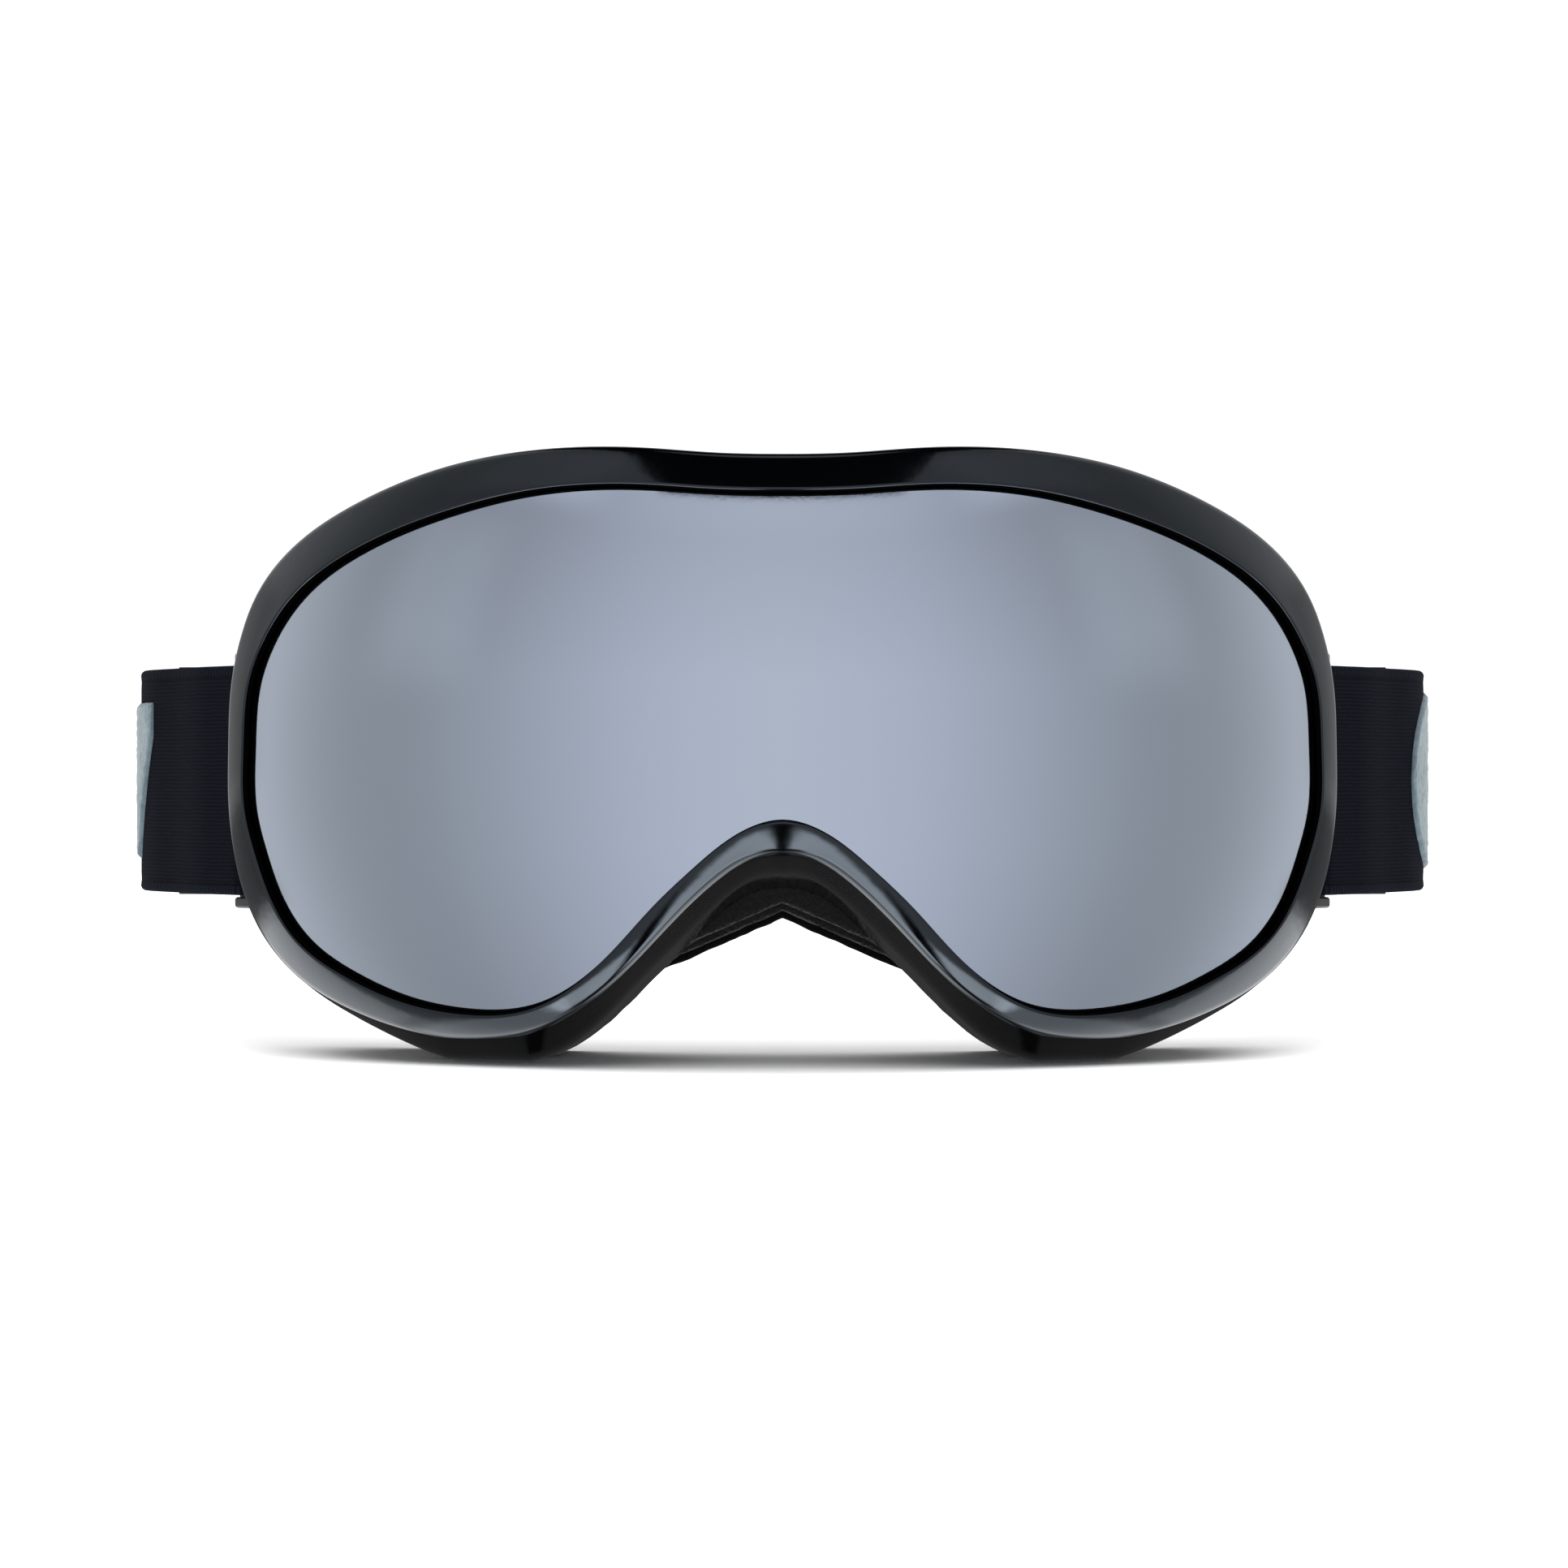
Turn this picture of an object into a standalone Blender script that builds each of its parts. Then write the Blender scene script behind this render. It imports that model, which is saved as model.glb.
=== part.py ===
"""Ski goggles with a spherical double lens, standing on the rim's two lower lobes.

The frame is a ring lofted round the lens. Every ring-shaped piece (rim, lenses, spacer, face foams) reads
the same stations, so neighbouring pieces stay parallel. The elastic strap leaves two hinged arms behind
the rim, is doubled back to a slider on each side, and closes in a loop behind.

Inside this file lengths are millimetres: x across, positive on the wearer's left; y back from the lens's
foremost point; z up from the surface that the goggles stand on.
"""

from math import cos, pi, radians, sin

import bmesh
import bpy
import numpy as np

MM = 0.001
GAP = 0.3  # clearance between pieces that touch
ORIGIN_Y = 110.3  # the row's origin is under the middle of the whole object

# Lens: a sphere's cap
LENS_RADIUS = 105.0
LENS_CENTRE_Z = 50.0
LENS_THICK = 1.2
INNER_LENS_THICK = 1.0
SPACER_THICK = 3.5
SPACER_WIDE = 6.0
SPACER_INSET = 0.8

# Frame
RIM_PROUD = 2.2  # the rim's inner edge stands this far out of the lens
RIM_EDGE_PROUD = 1.4  # the same at the rim's outer edge ...
NOSE_BEVEL_DROP = 1.5  # ... which drops by this at the nose, where the rim's front face turns down
NOSE_BEVEL_HALF = 26.0
NOSE_BEVEL_TOP = 45.0
WALL = 2.2
GROOVE_DEPTH = 3.0
GROOVE_SHARE = 0.45  # the groove never takes more of the rim's width than this
SEAT_DEPTH = 4.5
FLANGE_WIDE = 9.0
FLANGE_THICK = 2.0
FACE_Y = 44.0  # the flange's depth at the middle of the face
FACE_RADIUS = 150.0  # the face's curve across
WALL_BREAK = 12.0  # depth behind the rim where the side wall reaches its widest
LIP_BREAK = 3.0  # the same where the wall steps in behind the rim, at the strap

# Face foams, each from the one before
FOAM_WIDE = 13.0
FOAM_LAYERS = (("face_foam_base", 7.0, 3.0), ("face_foam_comfort", 8.0, 1.5), ("face_fleece", 3.5, 0.0))
NOTCH_TOP = 21.9  # the inverted V over the nose
NOTCH_SLOPE = 0.434
NOTCH_HALF = 21.0

# Half the outline, from the top's middle down the wearer's left to the nose's middle. Columns: lens edge
# x and z, rim width, flare of the side wall beyond the rim, rear edge x and z, and the strap's pocket.
OUTLINE = (
    (0.0, 88.1, 6.5, 0.0, 0.0, 93.5, 0),
    (11.2, 88.4, 6.5, 0.0, 11.4, 94.0, 0),
    (21.8, 89.2, 6.6, 0.0, 22.4, 94.8, 0),
    (41.0, 88.2, 7.5, 0.0, 42.5, 94.0, 0),
    (50.7, 86.0, 8.2, 0.0, 52.5, 91.5, 0),
    (66.7, 80.1, 8.5, 0.0, 67.0, 84.5, 0),
    (75.3, 74.5, 8.9, 0.0, 73.5, 78.5, 0),
    (79.7, 69.5, 9.0, -0.5, 76.6, 73.2, 0),
    (82.3, 64.9, 8.2, -1.0, 78.2, 67.2, 1),
    (84.0, 60.1, 7.1, -1.2, 79.0, 61.5, 1),
    (84.9, 50.0, 6.4, -1.2, 79.5, 50.0, 1),
    (84.8, 39.8, 6.7, -1.2, 79.4, 39.0, 1),
    (83.1, 33.1, 8.2, -1.0, 79.0, 31.0, 1),
    (80.2, 25.5, 8.3, 0.0, 77.8, 22.8, 1),
    (75.4, 19.0, 7.1, 1.0, 75.0, 15.5, 0),
    (67.6, 14.0, 6.1, 1.8, 69.0, 8.6, 0),
    (59.1, 10.6, 5.2, 3.0, 60.0, 2.6, 0),
    (49.3, 8.9, 4.4, 5.0, 49.5, -0.4, 0),
    (39.0, 9.7, 3.6, 5.1, 38.2, -0.3, 0),
    (27.3, 17.2, 3.5, 2.8, 26.5, 6.8, 0),
    (20.1, 25.0, 3.6, 3.0, 19.6, 13.7, 0),
    (13.5, 31.3, 3.6, 3.0, 12.5, 20.6, 0),
    (6.4, 36.7, 4.5, 3.0, 6.0, 25.8, 0),
    (0.0, 38.6, 5.3, 3.2, 0.0, 27.2, 0),
)
HALF_STATIONS = 42
STATION_LENGTH = 7.0  # one station step is this much length ...
STATION_TURN = radians(17)  # ... or this much turning of the rim

# Vents
VENT_SIZE = (13.0, 6.5)
TOP_VENTS_X = (10.0, 29.0, 48.0)
LOW_VENTS_X = (57.0,)
LOW_VENT_SIZE = (8.0, 6.5)
VENT_BEFORE_FLANGE = 9.0
VENT_FOAM_THICK = 2.5
VENT_FOAM_LIFT = 0.9  # off the wall, which bows between stations
VENT_FOAM_FROM = 0.3  # a vent foam starts at this share of the wall's depth
TOP_FOAM_HALF = 60.0
LOW_FOAM_X = (51.0, 66.0)

# Strap arms
PIN_XY = (83.2, 59.5)
PIN_RADIUS = 1.2
PIN_HEAD_RADIUS = 1.9
PIN_HEAD = 0.8
HOLE_RADIUS = 1.55
BARREL_RADIUS = 2.7
LUG_RADIUS = 2.9
LUG_ROOT_X = 77.4
LUG_THICK = 2.2
ARM_PLATE = 1.8
ARM_REACH = 8.2  # from the pin to the bar that holds the strap
BAR_RADIUS = 1.6

# Strap
WEB_WIDE = 38.0
WEB_THICK = 1.5
WEB_Z = 25.6
STRAP_HEADING = radians(52)  # at the arm, from the X axis
STRAP_LEG = 32.0
STRAP_BEND_RADIUS = 38.0
STRAP_SIDE_HEADING = radians(99)
STRAP_SIDE = 58.5
STRAP_CORNER_RADIUS = 45.0
STRAP_BACK_HEADING = radians(157)
LOOP_END = 15.2  # the webbing that turns with the arm ends here, measured from the pin
BAND_START = 16.2
LAYERS_MEET = 36.0
RETURN_OFFSET = -1.9

# Slider and the webbing end sewn round its middle bar
SLIDER_AT = 97.0
SLIDER_LENGTH = 17.0
SLIDER_RAIL = 1.3
SLIDER_CLEAR = 0.3
SLIDER_FRONT = (1.2, 3.0)
SLIDER_BAR_WIDE = 3.0
SLIDER_BAR_RADIUS = 1.1
SLIDER_BAR_OFFSET = -4.0
TAIL = 14.0
RETURN_END = 79.5

# Raised print on the strap's bend, and silicone lines inside its back
PRINT_THICK = 0.5
PRINT_START = 39.5
PRINT_END = 84.0
PRINT_HALF_HIGHS = {1: 15.0, -1: 13.0}  # the round end is the taller one
PRINT_SLANT = 9.0
GRIP_START = 150.0
GRIP_HALF_HIGH = 2.2
GRIP_THICK = 0.5
GRIP_OFFSETS = {"grip_line_upper": 9.0, "grip_line_lower": -9.0}

GLOSS_BLACK = (0.022, 0.024, 0.03)
SATIN_BLACK = (0.03, 0.03, 0.033)
FOAM_BLACK = (0.02, 0.02, 0.021)
FLEECE_BLACK = (0.014, 0.014, 0.015)
STRAP_NAVY = (0.012, 0.014, 0.022)
PRINT_GREY = (0.29, 0.38, 0.42)
MIRROR_SILVER = (0.55, 0.6, 0.68)
CLEAR_GREY = (0.6, 0.62, 0.65)
STEEL = (0.6, 0.6, 0.6)
SILICONE = (0.05, 0.05, 0.055)


# ---------------------------------------------------------------------------------------------- meshes


def material(name, colour, roughness, metallic):
    made = bpy.data.materials.new(name)
    made.use_nodes = True
    shader = made.node_tree.nodes["Principled BSDF"]
    shader.inputs["Base Color"].default_value = (*colour, 1)
    shader.inputs["Roughness"].default_value = roughness
    shader.inputs["Metallic"].default_value = metallic
    return made


def add_object(name, points, faces, look, smooth=35):
    """A closed solid with its faces turned outwards, from points in millimetres of this file's frame."""
    mesh = bpy.data.meshes.new(name)
    placed = (np.asarray(points, float) - (0, ORIGIN_Y, 0)) * MM
    mesh.from_pydata(placed.tolist(), [], [list(map(int, face)) for face in faces])
    body = bmesh.new()
    body.from_mesh(mesh)
    bmesh.ops.triangulate(body, faces=body.faces)
    bmesh.ops.recalc_face_normals(body, faces=body.faces)
    if body.calc_volume(signed=True) < 0:
        bmesh.ops.reverse_faces(body, faces=body.faces)
    body.to_mesh(mesh)
    body.free()
    mesh.shade_smooth()
    mesh.set_sharp_from_angle(angle=radians(smooth))
    made = bpy.data.objects.new(name, mesh)
    made.data.materials.append(material(name, *look))
    bpy.context.scene.collection.objects.link(made)
    return made


def loft(sections, closed):
    """Points and faces of a solid swept through equal sections: a closed ring, or a bar with two caps."""
    count, width = len(sections), len(sections[0])
    points = np.reshape(sections, (-1, 3))
    faces = []
    for i in range(count if closed else count - 1):
        here, after = i * width, (i + 1) % count * width
        for j in range(width):
            k = (j + 1) % width
            faces.append((here + j, here + k, after + k, after + j))
    if not closed:
        faces.append(range(width))
        faces.append(range((count - 1) * width, count * width))
    return points, faces


def merged(*solids):
    """Several separate shapes as one list of points and faces."""
    points, faces = [], []
    for shape_points, shape_faces in solids:
        start = len(points)
        points.extend(np.asarray(shape_points, float).tolist())
        faces.extend([start + int(p) for p in face] for face in shape_faces)
    return points, faces


def prism(outline, low, high):
    """An upright prism over a plan outline."""
    sections = [[(x, y, z) for x, y in outline] for z in (low, high)]
    return loft(sections, closed=False)


def circle(centre, radius, sides=16, start=0.0):
    angles = start + np.arange(sides) * 2 * pi / sides
    return [(centre[0] + radius * cos(a), centre[1] + radius * sin(a)) for a in angles]


def slot_outline(centre, size, sides=6):
    """A slot along x with round ends."""
    radius = size[1] / 2
    reach = size[0] / 2 - radius
    right = [-pi / 2 + pi * i / sides for i in range(sides + 1)]
    outline = [(centre[0] + reach + radius * cos(a), centre[1] + radius * sin(a)) for a in right]
    outline += [(centre[0] - reach - radius * cos(a), centre[1] - radius * sin(a)) for a in right]
    return outline


def cutter(name, points, faces):
    made = add_object(name, points, faces, (SATIN_BLACK, 0.5, 0.0))
    made.hide_render = True
    made.display_type = "WIRE"
    return made


def boolean(target, other, operation):
    modifier = target.modifiers.new(other.name, "BOOLEAN")
    modifier.object = other
    modifier.operation = operation
    modifier.solver = "EXACT"


# -------------------------------------------------------------------------------------- the frame's stations


def periodic_spline(at, rows):
    """The smooth closed curve through rows at the parameters at; the last row repeats the first."""
    step = np.diff(at)
    count = len(step)
    matrix = np.zeros((count, count))
    right = np.zeros((count, rows.shape[1]))
    for i in range(count):
        before = (i - 1) % count
        matrix[i, before] += step[before]
        matrix[i, i] += 2 * (step[before] + step[i])
        matrix[i, (i + 1) % count] += step[i]
        right[i] = 6 * ((rows[i + 1] - rows[i]) / step[i] - (rows[i] - rows[before]) / step[before])
    bend = np.linalg.solve(matrix, right)
    bend = np.vstack([bend, bend[:1]])

    def curve(t):
        i = np.clip(np.searchsorted(at, t, side="right") - 1, 0, count - 1)
        h = step[i][:, None]
        a = (at[i + 1] - t)[:, None] / h
        b = 1 - a
        bowed = ((a**3 - a) * bend[i] + (b**3 - b) * bend[i + 1]) * h**2 / 6
        return a * rows[i] + b * rows[i + 1] + bowed

    return curve


def outward(edge):
    """Outward directions, in the x-z plane, of a closed clockwise outline."""
    along = np.roll(edge, -1, axis=0) - np.roll(edge, 1, axis=0)
    normal = np.stack([-along[:, 1], along[:, 0]], axis=1)
    return normal / np.linalg.norm(normal, axis=1)[:, None]


def stations():
    """The closed outline's rows, spaced closer where the rim turns."""
    half = np.array(OUTLINE)
    other = half[1:-1][::-1] * (-1, 1, 1, 1, -1, 1, 1)
    rows = np.vstack([half, other, half[:1]])
    at = np.concatenate([[0], np.cumsum(np.linalg.norm(np.diff(rows[:, :2], axis=0), axis=1))])
    curve = periodic_spline(at, rows)
    fine = np.linspace(0, at[len(half) - 1], 1500)
    edge = curve(fine)[:, :2]
    along = np.diff(edge, axis=0)
    turn = np.abs(np.diff(np.unwrap(np.arctan2(along[:, 1], along[:, 0]))))
    measure = np.linalg.norm(along, axis=1) / STATION_LENGTH
    measure[1:] += turn / STATION_TURN
    total = np.concatenate([[0], np.cumsum(measure)])
    t = np.interp(np.linspace(0, total[-1], HALF_STATIONS + 1), total, fine)
    side = curve(t)
    side[[0, -1]] = half[[0, -1]]
    return np.vstack([side, side[1:-1][::-1] * (-1, 1, 1, 1, -1, 1, 1)])


ROWS = stations()
EDGE = ROWS[:, :2]
EDGE_OUT = outward(EDGE)
RIM_WIDTH = ROWS[:, 2]
REAR = ROWS[:, 4:6]
REAR_OUT = outward(REAR)
POCKET = np.clip(ROWS[:, 6], 0, 1)[:, None]


def sphere_y(x, z):
    return LENS_RADIUS - np.sqrt(LENS_RADIUS**2 - x**2 - (z - LENS_CENTRE_Z) ** 2)


def on_lens(spots, beyond, proud):
    """Points beyond the outline spots, measured along the lens's surface, and proud of that surface."""
    x, z = spots[:, 0], spots[:, 1]
    base = np.stack([x, sphere_y(x, z), z], axis=1)
    normal = (base - (0, LENS_RADIUS, LENS_CENTRE_Z)) / LENS_RADIUS
    out = np.stack([EDGE_OUT[:, 0], np.zeros(len(x)), EDGE_OUT[:, 1]], axis=1)
    tangent = out - normal * (out * normal).sum(axis=1)[:, None]
    tangent /= np.linalg.norm(tangent, axis=1)[:, None]
    return base + tangent * np.reshape(beyond, (-1, 1)) + normal * np.reshape(proud, (-1, 1))


def groove_depth():
    return np.minimum(GROOVE_DEPTH, GROOVE_SHARE * RIM_WIDTH)


def edge_proud():
    """How far the rim's outer edge stands out of the lens's surface."""
    share = np.clip(1 - np.abs(EDGE[:, 0]) / NOSE_BEVEL_HALF, 0, 1) * (EDGE[:, 1] < NOSE_BEVEL_TOP)
    return RIM_EDGE_PROUD - NOSE_BEVEL_DROP * share * share * (3 - 2 * share)


def face_y(x):
    return FACE_Y + x**2 / (2 * FACE_RADIUS)


def at_depth(spots, y):
    return np.stack([spots[:, 0], np.broadcast_to(y, len(spots)), spots[:, 1]], axis=1)


def standing(points):
    """Lifts what would reach below the floor, which leaves the flat that the goggles stand on."""
    lifted = np.array(points)
    lifted[:, 2] = np.maximum(lifted[:, 2], 0)
    return lifted


def wall_lines():
    """The side wall's outer lines: behind the rim, at its break, half way and at the flange."""
    rim = on_lens(EDGE, RIM_WIDTH, edge_proud())
    flare = EDGE_OUT * ROWS[:, 3:4]
    widest = rim[:, [0, 2]] + flare
    break_y = rim[:, 1] + WALL_BREAK + (LIP_BREAK - WALL_BREAK) * POCKET[:, 0]
    broken = standing(at_depth(widest, break_y))
    rear = standing(at_depth(REAR, face_y(REAR[:, 0])))
    middle = (broken + rear) / 2
    stepped = at_depth(REAR, break_y + 1)
    middle = standing(middle + (stepped - middle) * POCKET)
    return rim, broken, middle, rear


RIM, BROKEN, MIDDLE, FLANGE = wall_lines()
INTO = -np.stack([REAR_OUT[:, 0], np.zeros(len(REAR)), REAR_OUT[:, 1]], axis=1)
INTO_RIM = -np.stack([EDGE_OUT[:, 0], np.zeros(len(EDGE)), EDGE_OUT[:, 1]], axis=1)


def moved_y(points, by):
    return points + np.stack([np.zeros(len(points)), np.broadcast_to(by, len(points)), np.zeros(len(points))], 1)


# -------------------------------------------------------------------------------------------------- frame


def frame_sections():
    groove = groove_depth()
    flange_in = at_depth((FLANGE + INTO * FLANGE_WIDE)[:, [0, 2]], 0)
    flange_in[:, 1] = face_y(flange_in[:, 0])
    seat = on_lens(EDGE, 0.2, -SEAT_DEPTH)
    rear_in = moved_y(FLANGE + INTO * WALL, -FLANGE_THICK)
    middle_in = moved_y(MIDDLE + INTO * WALL, -1.5 * POCKET[:, 0])
    open_broken = BROKEN + INTO_RIM * WALL
    open_rim = moved_y(RIM + INTO_RIM * np.minimum(2.6, 0.62 * RIM_WIDTH)[:, None], 4.0)
    broken_in = open_broken + (middle_in + (seat - middle_in) / 3 - open_broken) * POCKET
    rim_in = open_rim + (middle_in + (seat - middle_in) * 2 / 3 - open_rim) * POCKET
    lines = [
        on_lens(EDGE, 0.0, GAP),
        on_lens(EDGE, 0.0, RIM_PROUD - 0.25),
        on_lens(EDGE, 0.3, RIM_PROUD),
        on_lens(EDGE, RIM_WIDTH - 0.4, edge_proud() + 0.1),
        moved_y(RIM, 1.0),
        BROKEN,
        MIDDLE,
        FLANGE,
        flange_in,
        moved_y(flange_in, -FLANGE_THICK),
        rear_in,
        middle_in,
        broken_in,
        rim_in,
        seat,
        on_lens(EDGE, 0.2, -LENS_THICK - GAP),
        on_lens(EDGE, groove, -LENS_THICK - GAP),
        on_lens(EDGE, groove, GAP),
    ]
    return np.stack(lines, axis=1)


def arm_spot(side, along, offset):
    """Plan point at a distance from the pin along the arm, and to the outer side of it."""
    x = PIN_XY[0] + along * cos(STRAP_HEADING) + offset * sin(STRAP_HEADING)
    y = PIN_XY[1] + along * sin(STRAP_HEADING) - offset * cos(STRAP_HEADING)
    return side * x, y


ARM_LOW = WEB_Z - GAP - ARM_PLATE
ARM_HIGH = WEB_Z + WEB_WIDE + GAP + ARM_PLATE
LUG_LEVELS = ((ARM_LOW - GAP - LUG_THICK, ARM_LOW - GAP), (ARM_HIGH + GAP, ARM_HIGH + GAP + LUG_THICK))


def lug_outline(side):
    pin = (PIN_XY[0], PIN_XY[1])
    arc = [-pi / 2 + pi * i / 8 for i in range(9)]
    outline = [(LUG_ROOT_X, pin[1] - LUG_RADIUS)]
    outline += [(pin[0] + LUG_RADIUS * cos(a), pin[1] + LUG_RADIUS * sin(a)) for a in arc]
    outline.append((LUG_ROOT_X, pin[1] + LUG_RADIUS))
    return [(side * x, y) for x, y in outline]


def vent_slots():
    slots = []
    for x in TOP_VENTS_X:
        for side in (-1, 1):
            centre = (side * x, face_y(x) - VENT_BEFORE_FLANGE)
            slots.append(prism(slot_outline(centre, VENT_SIZE), 80, 104))
    for x in LOW_VENTS_X:
        for side in (-1, 1):
            centre = (side * x, face_y(x) - VENT_BEFORE_FLANGE)
            slots.append(prism(slot_outline(centre, LOW_VENT_SIZE), -4, 9))
    return slots


def make_frame():
    frame = add_object("frame", *loft(frame_sections(), closed=True), (GLOSS_BLACK, 0.12, 0.0))
    for side, word in ((1, "left"), (-1, "right")):
        lugs = [prism(lug_outline(side), low, high) for low, high in LUG_LEVELS]
        boolean(frame, cutter(f"lugs_{word}", *merged(*lugs)), "UNION")
        hole = prism(circle((side * PIN_XY[0], PIN_XY[1]), HOLE_RADIUS), ARM_LOW - 12, ARM_HIGH + 12)
        boolean(frame, cutter(f"pin_hole_{word}", *hole), "DIFFERENCE")
    boolean(frame, cutter("vent_slots", *merged(*vent_slots())), "DIFFERENCE")


# -------------------------------------------------------------------------------------------------- lenses


def lens_solid(beyond, front, thick, rings=5):
    """A cap of the lens's sphere out to the outline, as a disc with two curved faces.

    Its outermost band is as wide as the spacer, so their facets lie parallel.
    """
    centre = np.array((0.0, 60.0))
    band_inside = on_lens(EDGE, -SPACER_INSET - SPACER_WIDE, 0.0)[:, [0, 2]]
    layers = []
    for proud in (front, front - thick):
        layers.append(on_lens(EDGE, beyond, proud))
        for k in range(rings - 1):
            spots = centre + (band_inside - centre) * (1 - k / (rings - 1)) ** 0.8
            layers.append(on_lens(spots, 0.0, proud))
    count = len(EDGE)
    points = np.vstack(layers + [on_lens(np.repeat(centre[None], count, 0), 0.0, p)[:1] for p in (front, front - thick)])
    faces = []
    for face in range(2):
        first = face * rings * count
        middle = 2 * rings * count + face
        for k in range(rings - 1):
            for i in range(count):
                a, b = first + k * count + i, first + k * count + (i + 1) % count
                faces.append((a, b, b + count, a + count))
        last = first + (rings - 1) * count
        faces += [(last + i, last + (i + 1) % count, middle) for i in range(count)]
    back = rings * count
    faces += [(i, (i + 1) % count, back + (i + 1) % count, back + i) for i in range(count)]
    return points, faces


def make_lenses():
    lens_edge = groove_depth() - 0.4
    add_object("outer_lens", *lens_solid(lens_edge, 0.0, LENS_THICK), (MIRROR_SILVER, 0.05, 1.0))
    spacer_front = -LENS_THICK - GAP
    spacer_back = spacer_front - SPACER_THICK
    corners = ((-SPACER_INSET, spacer_front), (-SPACER_INSET, spacer_back))
    corners += tuple((-SPACER_INSET - SPACER_WIDE, proud) for _, proud in corners[::-1])
    sections = np.stack([on_lens(EDGE, beyond, proud) for beyond, proud in corners], axis=1)
    add_object("lens_spacer", *loft(sections, closed=True), (FOAM_BLACK, 0.95, 0.0))
    inner = lens_solid(-SPACER_INSET, spacer_back - GAP, INNER_LENS_THICK)
    add_object("inner_lens", *inner, (CLEAR_GREY, 0.05, 0.0))


# --------------------------------------------------------------------------------------------------- foams


def notched(spots, raised):
    """The rear outline, cut to the inverted V over the nose."""
    cut = spots.copy()
    over_nose = (np.abs(cut[:, 0]) < NOTCH_HALF) & (cut[:, 1] < 40)
    notch = NOTCH_TOP + raised - NOTCH_SLOPE * np.abs(cut[:, 0])
    cut[over_nose, 1] = np.minimum(cut[over_nose, 1], notch[over_nose])
    return cut


def make_face_foams():
    depth = GAP
    for name, thick, raised in FOAM_LAYERS:
        outer = notched(REAR, raised)
        inner = REAR - REAR_OUT * FOAM_WIDE
        lines = []
        for spots, more in ((outer, depth), (outer, depth + thick), (inner, depth + thick), (inner, depth)):
            lines.append(standing(at_depth(spots, face_y(spots[:, 0]) + more)))
        colour = FLEECE_BLACK if name == "face_fleece" else FOAM_BLACK
        add_object(name, *loft(np.stack(lines, axis=1), closed=True), (colour, 0.95, 0.0))
        depth += thick + GAP


def vent_foam(name, chosen):
    """A strip of open foam inside the wall, over the vents, along the chosen stations."""
    inner_front = BROKEN + INTO_RIM * WALL
    inner_back = FLANGE + INTO * WALL
    lines = []
    for share, lift in ((VENT_FOAM_FROM, 0), (1, 0), (1, VENT_FOAM_THICK), (VENT_FOAM_FROM, VENT_FOAM_THICK)):
        line = inner_front + (inner_back - inner_front) * share + INTO * (VENT_FOAM_LIFT + lift)
        line[:, 1] = np.minimum(line[:, 1], face_y(line[:, 0]) - FLANGE_THICK - 2 * GAP)
        lines.append(line)
    add_object(name, *loft(np.stack(lines, axis=1)[chosen], closed=False), (FOAM_BLACK, 0.95, 0.0))


def make_vent_foams():
    order = np.arange(-len(EDGE) // 2, len(EDGE) // 2)
    top = [i for i in order if abs(REAR[i, 0]) < TOP_FOAM_HALF and REAR[i, 1] > 60]
    vent_foam("top_vent_foam", top)
    for side, word in ((1, "left"), (-1, "right")):
        low = [i for i in order if LOW_FOAM_X[0] < side * REAR[i, 0] < LOW_FOAM_X[1] and REAR[i, 1] < 20]
        vent_foam(f"lower_vent_foam_{word}", low)


# -------------------------------------------------------------------------------------------- arms and pins


def make_pin(side, word):
    centre = (side * PIN_XY[0], PIN_XY[1])
    low, high = LUG_LEVELS[0][0] - 0.3, LUG_LEVELS[1][1] + GAP
    profile = ((0.7, low), (PIN_RADIUS, low + 0.5), (PIN_RADIUS, high), (PIN_HEAD_RADIUS, high))
    profile += ((PIN_HEAD_RADIUS, high + PIN_HEAD / 2), (PIN_HEAD_RADIUS / 2, high + PIN_HEAD))
    sections = [[(x, y, z) for x, y in circle(centre, radius)] for radius, z in profile]
    add_object(f"hinge_pin_{word}", *loft(sections, closed=False), (STEEL, 0.3, 1.0))


def plate_outline(side):
    """Plan of an arm's end plate: round about the pin and about the bar."""
    spots = []
    for along, radius, start in ((0.0, BARREL_RADIUS, pi / 2), (ARM_REACH, BARREL_RADIUS - 0.3, -pi / 2)):
        for i in range(9):
            angle = start + pi * i / 8
            spots.append(arm_spot(side, along + radius * cos(angle), radius * sin(angle)))
    return spots


def make_arm(side, word):
    low = prism(plate_outline(side), ARM_LOW, ARM_LOW + ARM_PLATE)
    arm = add_object(f"strap_arm_{word}", *low, (SATIN_BLACK, 0.35, 0.0))
    high = prism(plate_outline(side), ARM_HIGH - ARM_PLATE, ARM_HIGH)
    boolean(arm, cutter(f"arm_top_{word}", *high), "UNION")
    inside = (ARM_LOW + ARM_PLATE / 2, ARM_HIGH - ARM_PLATE / 2)
    bars = [
        prism(circle((side * PIN_XY[0], PIN_XY[1]), BARREL_RADIUS - 0.2), *inside),
        prism(circle(arm_spot(side, ARM_REACH, 0), BAR_RADIUS, 12), *inside),
    ]
    boolean(arm, cutter(f"arm_bars_{word}", *merged(*bars)), "UNION")
    hole = prism(circle((side * PIN_XY[0], PIN_XY[1]), HOLE_RADIUS), ARM_LOW - 2, ARM_HIGH + 2)
    boolean(arm, cutter(f"arm_hole_{word}", *hole), "DIFFERENCE")


# --------------------------------------------------------------------------------------------------- strap


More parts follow.
